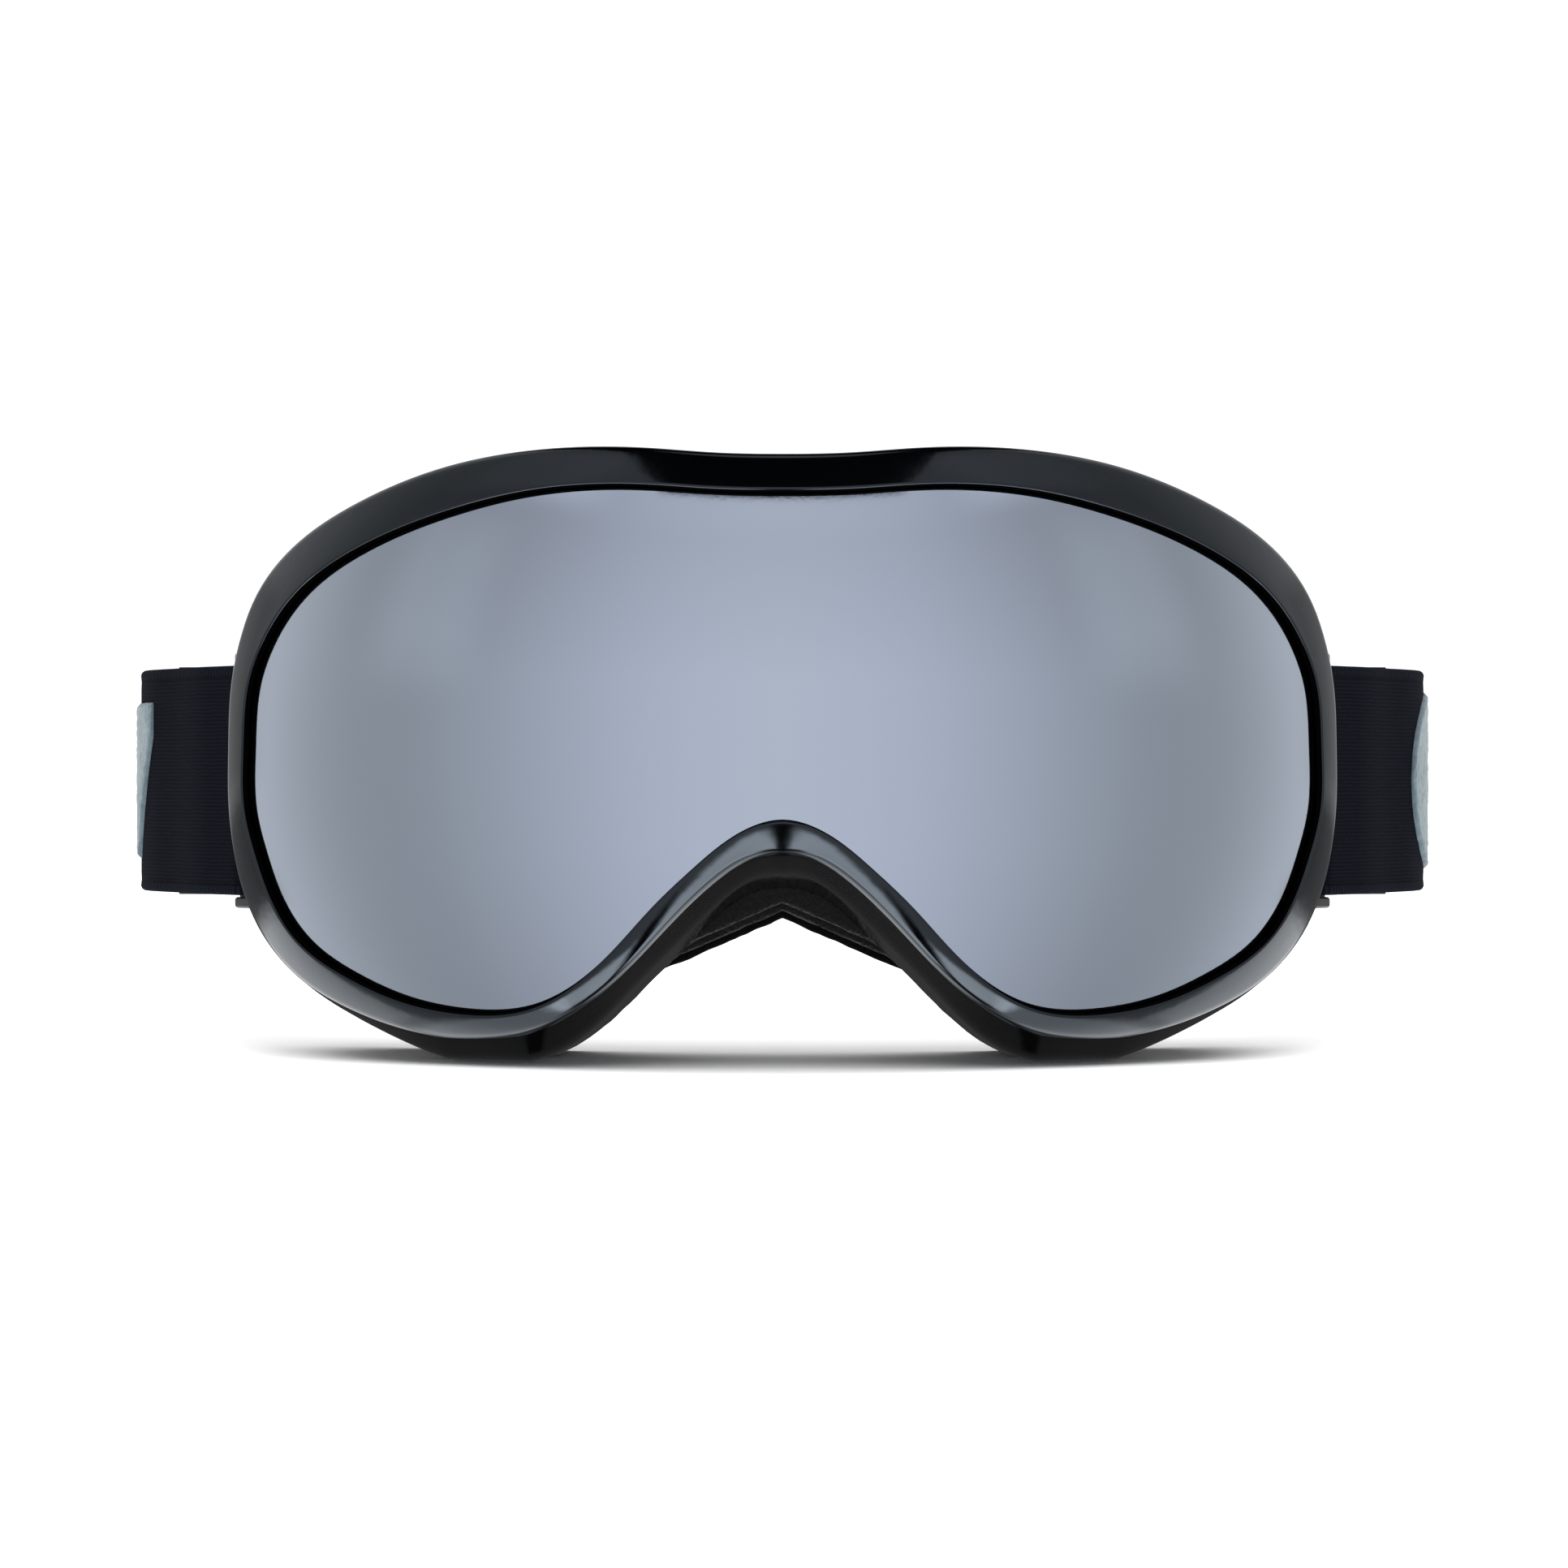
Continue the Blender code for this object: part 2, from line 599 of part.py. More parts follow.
def strap_arcs():
    """The strap's plan on the wearer's left: straight, bend, side, corner and back, which ends at x = 0."""
    pieces = []
    x, y = PIN_XY
    heading = STRAP_HEADING
    for length, radius, until in (
        (STRAP_LEG, 0, STRAP_HEADING),
        (0, STRAP_BEND_RADIUS, STRAP_SIDE_HEADING),
        (STRAP_SIDE, 0, STRAP_SIDE_HEADING),
        (0, STRAP_CORNER_RADIUS, STRAP_BACK_HEADING),
        (0, None, pi),
    ):
        if radius is None:
            radius = x / sin(heading)
        if radius:
            length = radius * (until - heading)
        pieces.append((x, y, heading, length, radius))
        if radius:
            x += radius * (sin(until) - sin(heading))
            y += radius * (cos(heading) - cos(until))
            heading = until
        else:
            x += length * cos(heading)
            y += length * sin(heading)
    return pieces


STRAP_ARCS = strap_arcs()
HALF_LOOP = sum(piece[3] for piece in STRAP_ARCS)


def strap_spot(s, offset):
    """Plan point at length s from the wearer's left pin, offset outwards; past the middle it mirrors."""
    side = 1
    if s > HALF_LOOP:
        side, s = -1, 2 * HALF_LOOP - s
    for x, y, heading, length, radius in STRAP_ARCS:
        if s <= length + 1e-9:
            break
        s -= length
    turned = heading + (s / radius if radius else 0)
    if radius:
        x += radius * (sin(turned) - sin(heading))
        y += radius * (cos(heading) - cos(turned))
    else:
        x += s * cos(heading)
        y += s * sin(heading)
    return side * (x + offset * sin(turned)), y - offset * cos(turned)


def ease(share):
    share = min(max(share, 0.0), 1.0)
    return share * share * (3 - 2 * share)


LOOP_OFFSET = BAR_RADIUS + GAP + WEB_THICK / 2


def outer_offset(s):
    """The main layer's offset: it starts on the arm's outer leg and settles on the path."""
    near_end = min(s, 2 * HALF_LOOP - s)
    return LOOP_OFFSET * (1 - ease((near_end - BAND_START) / (LAYERS_MEET - BAND_START)))


def inner_offset(s):
    near_end = min(s, 2 * HALF_LOOP - s)
    share = ease((near_end - BAND_START) / (LAYERS_MEET - BAND_START))
    return -LOOP_OFFSET + (RETURN_OFFSET + LOOP_OFFSET) * share


def ribbon(lengths, middle, thick, low, high):
    """A flat band along the strap's path. low and high are heights, or functions of s."""
    sections = []
    for s in lengths:
        bottom = low(s) if callable(low) else low
        top = high(s) if callable(high) else high
        inner = strap_spot(s, middle(s) - thick / 2)
        outer = strap_spot(s, middle(s) + thick / 2)
        sections.append([(*inner, bottom), (*outer, bottom), (*outer, top), (*inner, top)])
    return loft(sections, closed=False)


def path_steps(start, end, step):
    """Lengths from start to end at about equal steps, with a stop where each arc meets the next."""
    joints = np.cumsum([piece[3] for piece in STRAP_ARCS])
    joints = sorted({*joints, *(2 * HALF_LOOP - joints)})
    stops = [start] + [j for j in joints if start + 1 < j < end - 1] + [end]
    lengths = []
    for a, b in zip(stops, stops[1:]):
        count = max(1, round((b - a) / step))
        lengths += [a + (b - a) * i / count for i in range(count)]
    return lengths + [end]


def side_length(side, s):
    return s if side > 0 else 2 * HALF_LOOP - s


def make_strap_layers():
    web = (STRAP_NAVY, 0.85, 0.0)
    top = WEB_Z + WEB_WIDE
    lengths = path_steps(BAND_START, 2 * HALF_LOOP - BAND_START, 7.0)
    add_object("strap_band", *ribbon(lengths, outer_offset, WEB_THICK, WEB_Z, top), web)
    for side, word in ((1, "left"), (-1, "right")):
        ends = sorted((side_length(side, BAND_START), side_length(side, RETURN_END)))
        lengths = path_steps(*ends, 7.0)
        add_object(f"strap_return_{word}", *ribbon(lengths, inner_offset, WEB_THICK, WEB_Z, top), web)
        make_loop(side, word, web)
        make_slider(side, word)
        make_strap_end(side, word, web)
        make_print(side, word)


def wrap(spot, turn_at, reach, radius, thick, sides=8):
    """Plan outline of a strip that comes in at reach, turns round turn_at and leaves beside itself."""
    outline = []
    for r, order in ((radius + thick, 1), (radius, -1)):
        arc = [pi / 2 + pi * i / sides for i in range(sides + 1)][::order]
        strip = [spot(turn_at + r * cos(a), r * sin(a)) for a in arc]
        ends = [spot(reach, r), spot(reach, -r)]
        outline += [ends[0], *strip, ends[1]] if order > 0 else [ends[1], *strip, ends[0]]
    return outline


def make_loop(side, word, look):
    """The webbing round the arm's bar, up to where the band takes over."""

    def spot(along, offset):
        return arm_spot(side, along, offset)

    outline = wrap(spot, ARM_REACH, LOOP_END, BAR_RADIUS + GAP, WEB_THICK)
    add_object(f"strap_loop_{word}", *prism(outline, WEB_Z, WEB_Z + WEB_WIDE), look)


def slider_spot(side, along, offset):
    return strap_spot(side_length(side, SLIDER_AT + along), offset)


def make_slider(side, word):
    """A three-bar slider: two bars outside the band, one inside it, and a rail above and below."""

    def block(first, last, inner, outer, low, high):
        corners = [(first, inner), (last, inner), (last, outer), (first, outer)]
        return prism([slider_spot(side, *corner) for corner in corners], low, high)

    half = SLIDER_LENGTH / 2
    back = SLIDER_BAR_OFFSET - SLIDER_BAR_RADIUS
    front = SLIDER_FRONT[1]
    window = (WEB_Z - SLIDER_CLEAR, WEB_Z + WEB_WIDE + SLIDER_CLEAR)
    rails = [
        block(-half, half, back, front, window[0] - SLIDER_RAIL, window[0]),
        block(-half, half, back, front, window[1], window[1] + SLIDER_RAIL),
    ]
    slider = add_object(f"slider_{word}", *rails[0], (SATIN_BLACK, 0.3, 0.0))
    boolean(slider, cutter(f"slider_top_{word}", *rails[1]), "UNION")
    inside = (window[0] - SLIDER_RAIL / 2, window[1] + SLIDER_RAIL / 2)
    bars = [
        block(-half, -half + SLIDER_BAR_WIDE, *SLIDER_FRONT, *inside),
        block(half - SLIDER_BAR_WIDE, half, *SLIDER_FRONT, *inside),
    ]
    centre = slider_spot(side, 0, SLIDER_BAR_OFFSET)
    bars.append(prism(circle(centre, SLIDER_BAR_RADIUS, 10), *inside))
    boolean(slider, cutter(f"slider_bars_{word}", *merged(*bars)), "UNION")


def make_strap_end(side, word, look):
    """The webbing's end, sewn round the slider's middle bar."""

    def spot(along, offset):
        return slider_spot(side, -along, SLIDER_BAR_OFFSET + offset)

    outline = wrap(spot, 0, TAIL, SLIDER_BAR_RADIUS + GAP, WEB_THICK)
    add_object(f"strap_end_{word}", *prism(outline, WEB_Z, WEB_Z + WEB_WIDE), look)


def print_bounds(side):
    """Low and high edges of the raised stripe: one end is round, the other slants."""
    middle = WEB_Z + WEB_WIDE / 2
    half = PRINT_HALF_HIGHS[side]
    slanted_first = side < 0

    def high(s):
        near = min(s, 2 * HALF_LOOP - s)
        from_round = (PRINT_END - near) if slanted_first else (near - PRINT_START)
        share = min(from_round / half, 1.0)
        return middle + half * (1 - (1 - share) ** 2) ** 0.5 + 0.6

    def low(s):
        near = min(s, 2 * HALF_LOOP - s)
        from_slant = (near - PRINT_START) if slanted_first else (PRINT_END - near)
        full = 2 * middle - high(s)
        return full + 2 * half * max(0.0, 1 - from_slant / PRINT_SLANT) * 0.8

    return low, high


def make_print(side, word):
    low, high = print_bounds(side)
    ends = sorted((side_length(side, PRINT_START), side_length(side, PRINT_END)))
    lengths = path_steps(*ends, 2.5)

    def middle(s):
        return outer_offset(s) + WEB_THICK / 2 + 0.1 + PRINT_THICK / 2

    add_object(f"strap_print_{word}", *ribbon(lengths, middle, PRINT_THICK, low, high), (PRINT_GREY, 0.95, 0.0))


def make_grip_lines():
    middle = WEB_Z + WEB_WIDE / 2
    lengths = path_steps(GRIP_START, 2 * HALF_LOOP - GRIP_START, 7.0)

    def inside(s):
        return -WEB_THICK / 2 - 0.1 - GRIP_THICK / 2

    for name, height in GRIP_OFFSETS.items():
        low, high = middle + height - GRIP_HALF_HIGH, middle + height + GRIP_HALF_HIGH
        add_object(name, *ribbon(lengths, inside, GRIP_THICK, low, high), (SILICONE, 0.6, 0.0))


def main():
    for old in list(bpy.data.objects):
        bpy.data.objects.remove(old, do_unlink=True)
    make_frame()
    make_lenses()
    make_face_foams()
    make_vent_foams()
    for side, word in ((1, "left"), (-1, "right")):
        make_pin(side, word)
        make_arm(side, word)
    make_strap_layers()
    make_grip_lines()


main()
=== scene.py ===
"""Finished looks for the ski goggles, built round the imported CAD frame.

The rings (rim, lenses, foams) follow the same outline as the CAD part at a finer step, with their edges
rounded. The strap is one ribbon a side that runs round the arm's bar and doubles back to the slider.

Inside this file lengths are millimetres: x across, positive on the wearer's left; y back from the lens's
foremost point; z up from the floor. placed() turns them into the frame's metres.
"""

from math import cos, hypot, pi, radians, sin

import bmesh
import bpy
import numpy as np
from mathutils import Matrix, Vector, noise


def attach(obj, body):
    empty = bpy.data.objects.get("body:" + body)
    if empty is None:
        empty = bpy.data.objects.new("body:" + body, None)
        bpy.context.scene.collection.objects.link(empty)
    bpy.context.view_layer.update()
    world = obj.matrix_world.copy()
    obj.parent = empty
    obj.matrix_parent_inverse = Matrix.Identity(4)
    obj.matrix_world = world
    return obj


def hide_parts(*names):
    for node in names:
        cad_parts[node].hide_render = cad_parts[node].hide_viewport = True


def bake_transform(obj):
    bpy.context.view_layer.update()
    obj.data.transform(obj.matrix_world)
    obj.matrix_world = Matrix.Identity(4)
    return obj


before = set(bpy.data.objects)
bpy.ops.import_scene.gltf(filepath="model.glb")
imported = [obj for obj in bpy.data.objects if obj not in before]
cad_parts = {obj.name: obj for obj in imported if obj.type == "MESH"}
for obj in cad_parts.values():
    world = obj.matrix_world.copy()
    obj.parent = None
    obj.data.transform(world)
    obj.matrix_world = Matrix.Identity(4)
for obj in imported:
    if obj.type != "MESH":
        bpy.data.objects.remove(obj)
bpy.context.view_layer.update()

MM = 0.001
GAP = 0.3
ORIGIN_Y = 110.3

# ---- the part's dimensions

LENS_RADIUS = 105.0
LENS_CENTRE_Z = 50.0
LENS_THICK = 1.2
INNER_LENS_THICK = 1.0
SPACER_THICK = 3.5
SPACER_WIDE = 6.0
SPACER_INSET = 0.8
RIM_PROUD = 2.2
LENS_PROUD = 0.78  # the lens stands this much further out in its rim than the plain CAD one
RIM_EDGE_PROUD = 1.4
NOSE_BEVEL_DROP = 1.5
NOSE_BEVEL_HALF = 26.0
NOSE_BEVEL_TOP = 45.0
RIM_CROWN = 0.16
WALL = 2.2
GROOVE_MOST = 1.3
GROOVE_SHARE = 0.45
SEAT_DEPTH = 4.5
FLANGE_WIDE = 9.0
FLANGE_THICK = 2.0
FACE_Y = 44.0
FACE_RADIUS = 150.0
WALL_BREAK = 12.0
LIP_BREAK = 3.0
FOAM_WIDE = 13.0
FOAM_LAYERS = (("face_foam_base", 7.0, 3.0), ("face_foam_comfort", 8.0, 1.5), ("face_fleece", 3.5, 0.0))
NOTCH_TOP = 21.9
NOTCH_SLOPE = 0.434
NOTCH_HALF = 21.0

# Columns: lens edge x and z, rim width, flare, rear edge x and z, pocket.
OUTLINE = (
    (0.0, 88.1, 6.5, 0.0, 0.0, 93.5, 0),
    (11.2, 88.4, 6.5, 0.0, 11.4, 94.0, 0),
    (21.8, 89.2, 6.6, 0.0, 22.4, 94.8, 0),
    (41.0, 88.2, 7.5, 0.0, 42.5, 94.0, 0),
    (50.7, 86.0, 8.2, 0.0, 52.5, 91.5, 0),
    (66.7, 80.1, 8.5, 0.0, 67.0, 84.5, 0),
    (75.3, 74.5, 8.9, 0.0, 73.5, 78.5, 0),
    (79.7, 69.5, 9.0, -0.5, 76.6, 73.2, 0),
    (82.3, 64.9, 8.2, -1.0, 78.2, 67.2, 1),
    (84.0, 60.1, 7.1, -1.2, 79.0, 61.5, 1),
    (84.9, 50.0, 6.4, -1.2, 79.5, 50.0, 1),
    (84.8, 39.8, 6.7, -1.2, 79.4, 39.0, 1),
    (83.1, 33.1, 8.2, -1.0, 79.0, 31.0, 1),
    (80.2, 25.5, 8.3, 0.0, 77.8, 22.8, 1),
    (75.4, 19.0, 7.1, 1.0, 75.0, 15.5, 0),
    (67.6, 14.0, 6.1, 1.8, 69.0, 8.6, 0),
    (59.1, 10.6, 5.2, 3.0, 60.0, 2.6, 0),
    (49.3, 8.9, 4.4, 5.0, 49.5, -0.4, 0),
    (39.0, 9.7, 3.6, 5.1, 38.2, -0.3, 0),
    (27.3, 17.2, 3.5, 2.8, 26.5, 6.8, 0),
    (20.1, 25.0, 3.6, 3.0, 19.6, 13.7, 0),
    (13.5, 31.3, 3.6, 3.0, 12.5, 20.6, 0),
    (6.4, 36.7, 4.5, 3.0, 6.0, 25.8, 0),
    (0.0, 38.6, 5.3, 3.2, 0.0, 27.2, 0),
)
OTHER_SIDE = (-1, 1, 1, 1, -1, 1, 1)
HALF_STATIONS = 150
STATION_LENGTH = 7.0
STATION_TURN = radians(17)

# Each row of vents: their places across, length and width, and the heights between which they are cut.
VENT_ROWS = (((10.0, 29.0, 48.0), (13.0, 6.5), 80, 104), ((57.0,), (8.0, 6.5), -4, 9))
VENT_BEFORE_FLANGE = 9.0
VENT_FOAM_THICK = 2.5
VENT_FOAM_LIFT = 0.9
VENT_FOAM_FROM = 0.3
TOP_FOAM_HALF = 60.0
LOW_FOAM_X = (51.0, 66.0)

PIN_XY = (83.2, 59.5)
PIN_RADIUS = 1.2
PIN_HEAD_RADIUS = 1.9
PIN_HEAD = 0.8
HOLE_RADIUS = 1.55
BARREL_RADIUS = 2.7
LUG_RADIUS = 2.9
LUG_ROOT_X = 77.4
LUG_THICK = 2.2
ARM_PLATE = 1.8
ARM_REACH = 8.2
BAR_RADIUS = 1.6

WEB_WIDE = 38.0
WEB_THICK = 1.5
WEB_Z = 25.6
STRAP_HEADING = radians(52)
STRAP_LEG = 32.0
STRAP_BEND_RADIUS = 38.0
STRAP_SIDE_HEADING = radians(99)
STRAP_SIDE = 58.5
STRAP_CORNER_RADIUS = 45.0
STRAP_BACK_HEADING = radians(157)
BAND_START = 16.2
LAYERS_MEET = 36.0
RETURN_OFFSET = -1.9
RETURN_SPLIT = 47.0  # the doubled-back layer is one piece with the arm's loop up to here
ARM_END_BENDS = (30.0, 14.0)  # two lengths along the strap by the arm, where make_strap works out points that nothing uses
TAIL_BENDS = (48.0, 82.0)  # and two along the doubled-back end, likewise worked out and not used
RIB_PITCH = 0.62
SELVEDGE_PITCH = 0.9
SELVEDGE_WIDE = 1.5
SEAM = (1.75, 2.05)

SLIDER_AT = 97.0
SLIDER_LENGTH = 17.0
SLIDER_RAIL = 1.3
SLIDER_CLEAR = 0.3
SLIDER_FRONT = (1.2, 3.0)
SLIDER_BAR_WIDE = 3.0
SLIDER_BAR_RADIUS = 1.1
SLIDER_BAR_OFFSET = -4.0
TAIL = 14.0
TAIL_LAP = -3.45  # the sewn flap lies against the doubled-back layer
TAIL_RISE = (80.0, 12.0)  # where the doubled-back layer starts out towards the slider's bar, and over what length
TAIL_FALL = 7.5  # the length over which the flap comes back to that layer
TAIL_PATTERN_START = 17.0
STITCH_LENGTH = 1.55
STITCH_PITCH = 2.1
STITCH_RADIUS = 0.2

PRINT_THICK = 0.5
PRINT_START = 39.5
PRINT_END = 84.0
PRINT_HALF_HIGHS = {1: 15.0, -1: 13.0}
PRINT_SLANT = 9.0
GRIP_START = 150.0
GRIP_HALF_HIGH = 2.2
GRIP_THICK = 0.5
GRIP_OFFSETS = {"grip_line_upper": 9.0, "grip_line_lower": -9.0}

SIDES = ((1, "left"), (-1, "right"))


# ---- node trees


def add(tree, kind, settings=None, **inputs):
    """A shader node with its settings and inputs; an input is a number, a colour or another node's socket."""
    made = tree.nodes.new(kind)
    for key, value in (settings or {}).items():
        setattr(made, key, value)
    for key, value in inputs.items():
        socket = made.inputs[int(key[1:]) if key[0] == "_" else key.replace("_", " ")]
        if isinstance(value, bpy.types.NodeSocket):
            tree.links.new(value, socket)
        else:
            socket.default_value = value
    return made


def ramp(tree, factor, stops, mode="LINEAR"):
    made = add(tree, "ShaderNodeValToRGB", Fac=factor)
    made.color_ramp.interpolation = mode
    elements = made.color_ramp.elements
    while len(elements) < len(stops):
        elements.new(0.5)
    for element, (position, colour) in zip(elements, stops):
        element.position = position
        element.color = (*colour, 1) if isinstance(colour, tuple) else (colour, colour, colour, 1)
    return made.outputs["Color"]


def maths(tree, operation, *values):
    inputs = {f"_{i}": value for i, value in enumerate(values)}
    return add(tree, "ShaderNodeMath", {"operation": operation}, **inputs).outputs[0]


def weighed(tree, first, first_share, second, second_share):
    """The sum of two values, each times its share."""
    return maths(
        tree, "ADD", maths(tree, "MULTIPLY", first, first_share), maths(tree, "MULTIPLY", second, second_share)
    )


def mix(tree, factor, a, b):
    made = add(tree, "ShaderNodeMix", {"data_type": "RGBA"}, _0=factor, _6=a, _7=b)
    return made.outputs[2]


def bump(tree, height, strength, distance):
    return add(tree, "ShaderNodeBump", Height=height, Strength=strength, Distance=distance).outputs["Normal"]


def object_noise(tree, scale, detail=3.0, roughness=0.5, stretch=None):
    """Noise in the object's own coordinates, at so many cells a metre."""
    at = add(tree, "ShaderNodeTexCoord").outputs["Object"]
    if stretch:
        at = add(tree, "ShaderNodeMapping", Vector=at, Scale=stretch).outputs["Vector"]
    made = add(tree, "ShaderNodeTexNoise", Vector=at, Scale=scale, Detail=detail, Roughness=roughness)
    return made.outputs["Fac"]


def new_look(name, **constants):
    look = bpy.data.materials.new(name)
    look.use_nodes = True
    shader = look.node_tree.nodes["Principled BSDF"]
    for key, value in constants.items():
        shader.inputs[key.replace("_", " ")].default_value = value
    return look, look.node_tree, shader


def feed(tree, shader, **sockets):
    for key, socket in sockets.items():
        tree.links.new(socket, shader.inputs[key.replace("_", " ")])


def plain_look(name, grain, colours, roughness, relief=None, **constants):
    """A look whose colour, roughness and fine relief all follow one noise."""
    look, tree, shader = new_look(name, **constants)
    height = object_noise(tree, *grain)
    # Where a relief is given (silicone, thread), its hollows take the darker colour: painted shade, over random tone.
    feed(tree, shader, Base_Color=ramp(tree, height, colours), Roughness=ramp(tree, height, roughness))
    if relief:
        feed(tree, shader, Normal=bump(tree, height, *relief))
    return look


def gloss_frame_look():
    look, tree, shader = new_look("gloss_frame", IOR=1.5, Specular_IOR_Level=0.52)
    shader.inputs["Specular Tint"].default_value = (0.72, 0.85, 1.0, 1)
    cloudy = object_noise(tree, 35, 2)
    fine = object_noise(tree, 900, 4, 0.6)
    scuffs = object_noise(tree, 260, 5, 0.7, (1, 0.18, 1))
    colour = ramp(tree, cloudy, ((0.35, (0.0006, 0.0007, 0.001)), (0.7, (0.0011, 0.0013, 0.0018))))
    worn = weighed(tree, fine, 0.05, scuffs, 0.11)
    feed(tree, shader, Base_Color=colour, Roughness=maths(tree, "ADD", worn, 0.02))
    feed(tree, shader, Normal=bump(tree, object_noise(tree, 420, 1), 0.035, 0.0004))
    return look


def mirror_lens_look():
    look, tree, shader = new_look("mirror_lens", Metallic=1.0, Coat_Weight=0.25, Coat_Roughness=0.02)
    at = add(tree, "ShaderNodeTexCoord").outputs["Object"]
    spot = add(tree, "ShaderNodeSeparateXYZ", Vector=at)
    across = maths(tree, "ABSOLUTE", spot.outputs["X"])
    drift = maths(tree, "MULTIPLY", maths(tree, "SUBTRACT", object_noise(tree, 22, 2), 0.5), 0.02)
    reach = maths(tree, "MULTIPLY", maths(tree, "ADD", across, drift), 11.0)
    # The mirror coating's own blue tint, with painted shade and light across it: a little darker and bluer about 25
    # mm either side of the middle, a little lighter towards the sides.
    tint_with_painted_shade = ramp(
        tree,
        reach,
        (
            (0.0, (0.405, 0.462, 0.562)),
            (0.28, (0.398, 0.450, 0.572)),
            (0.55, (0.402, 0.462, 0.560)),
            (0.8, (0.412, 0.470, 0.552)),
            (1.0, (0.420, 0.470, 0.560)),
        ),
        "B_SPLINE",
    )
    smear = object_noise(tree, 60, 4, 0.6)
    roughness = ramp(tree, smear, ((0.3, 0.045), (0.75, 0.085)))
    feed(tree, shader, Base_Color=tint_with_painted_shade, Roughness=roughness)
    feed(tree, shader, Normal=bump(tree, object_noise(tree, 1400, 2), 0.012, 0.0002))
    return look


def smoke_look():
    """The uncoated back of the outer lens."""
    look, tree, shader = new_look("lens_back", IOR=1.58, Coat_Weight=0.2)
    tint = ramp(tree, object_noise(tree, 18, 1), ((0.3, (0.030, 0.027, 0.026)), (0.7, (0.042, 0.038, 0.036))))
    feed(tree, shader, Base_Color=tint, Roughness=ramp(tree, object_noise(tree, 90, 3), ((0.3, 0.06), (0.7, 0.1))))
    return look


def foam_look(name, dark, light, pore, depth):
    """Open-cell foam with pores so many to a metre."""
    look, tree, shader = new_look(name, Sheen_Weight=0.25, Sheen_Roughness=0.6, Specular_IOR_Level=0.2)
    at = add(tree, "ShaderNodeTexCoord").outputs["Object"]
    cells = add(tree, "ShaderNodeTexVoronoi", Vector=at, Scale=pore, Randomness=1.0).outputs["Distance"]
    soft = object_noise(tree, pore * 0.4, 4, 0.65)
    height = weighed(tree, cells, 0.7, soft, 0.5)
    # The colour follows the relief: darker down in the pores, painted shade, with random tone from the soft noise.
    colour = ramp(tree, height, ((0.15, dark), (0.85, light)))
    feed(tree, shader, Base_Color=colour, Roughness=ramp(tree, soft, ((0.2, 0.86), (0.8, 0.98))))
    feed(tree, shader, Normal=bump(tree, height, 0.8, depth))
    return look


def fleece_look():
    look, tree, shader = new_look("fleece", Sheen_Weight=0.4, Sheen_Roughness=0.35, Specular_IOR_Level=0.1)
    shader.inputs["Sheen Tint"].default_value = (0.35, 0.36, 0.4, 1)
    tufts = object_noise(tree, 520, 5, 0.75)
    combed = object_noise(tree, 1500, 3, 0.7, (1, 0.3, 1))
    nap = weighed(tree, tufts, 0.6, combed, 0.4)
    # The colour follows the nap's relief: darker where it is low, painted shade between the tufts, over random tone.
    colour = ramp(tree, nap, ((0.3, (0.0024, 0.0024, 0.0028)), (0.75, (0.012, 0.012, 0.0132))))
    feed(tree, shader, Base_Color=colour, Roughness=ramp(tree, nap, ((0.2, 0.9), (0.8, 1.0))))
    feed(tree, shader, Normal=bump(tree, nap, 0.9, 0.0006))
    return look


def stripes(tree, position, pitch):
    """A round rib every so many millimetres, from 0 in the valley to 1 on the crest."""
    turned = maths(tree, "SINE", maths(tree, "MULTIPLY", position, 2 * pi / pitch))
    return maths(tree, "MULTIPLY_ADD", turned, 0.5, 0.5)


def between(tree, position, low, high, soft=0.25):
    """1 from low to high and 0 outside, with soft ends."""
    ends = []
    for out, into in ((low - soft, low + soft), (high + soft, high - soft)):
        settings = {"interpolation_type": "SMOOTHSTEP"}
        end = add(tree, "ShaderNodeMapRange", settings, Value=position, From_Min=out, From_Max=into)
        ends.append(end.outputs["Result"])
    return maths(tree, "MULTIPLY", *ends)


def along_edges(tree, up, low, high, soft=0.25):
    """1 within that far of either edge of the webbing."""
    lower = between(tree, up, low, high, soft)
    return maths(tree, "MAXIMUM", lower, between(tree, up, WEB_WIDE - high, WEB_WIDE - low, soft))


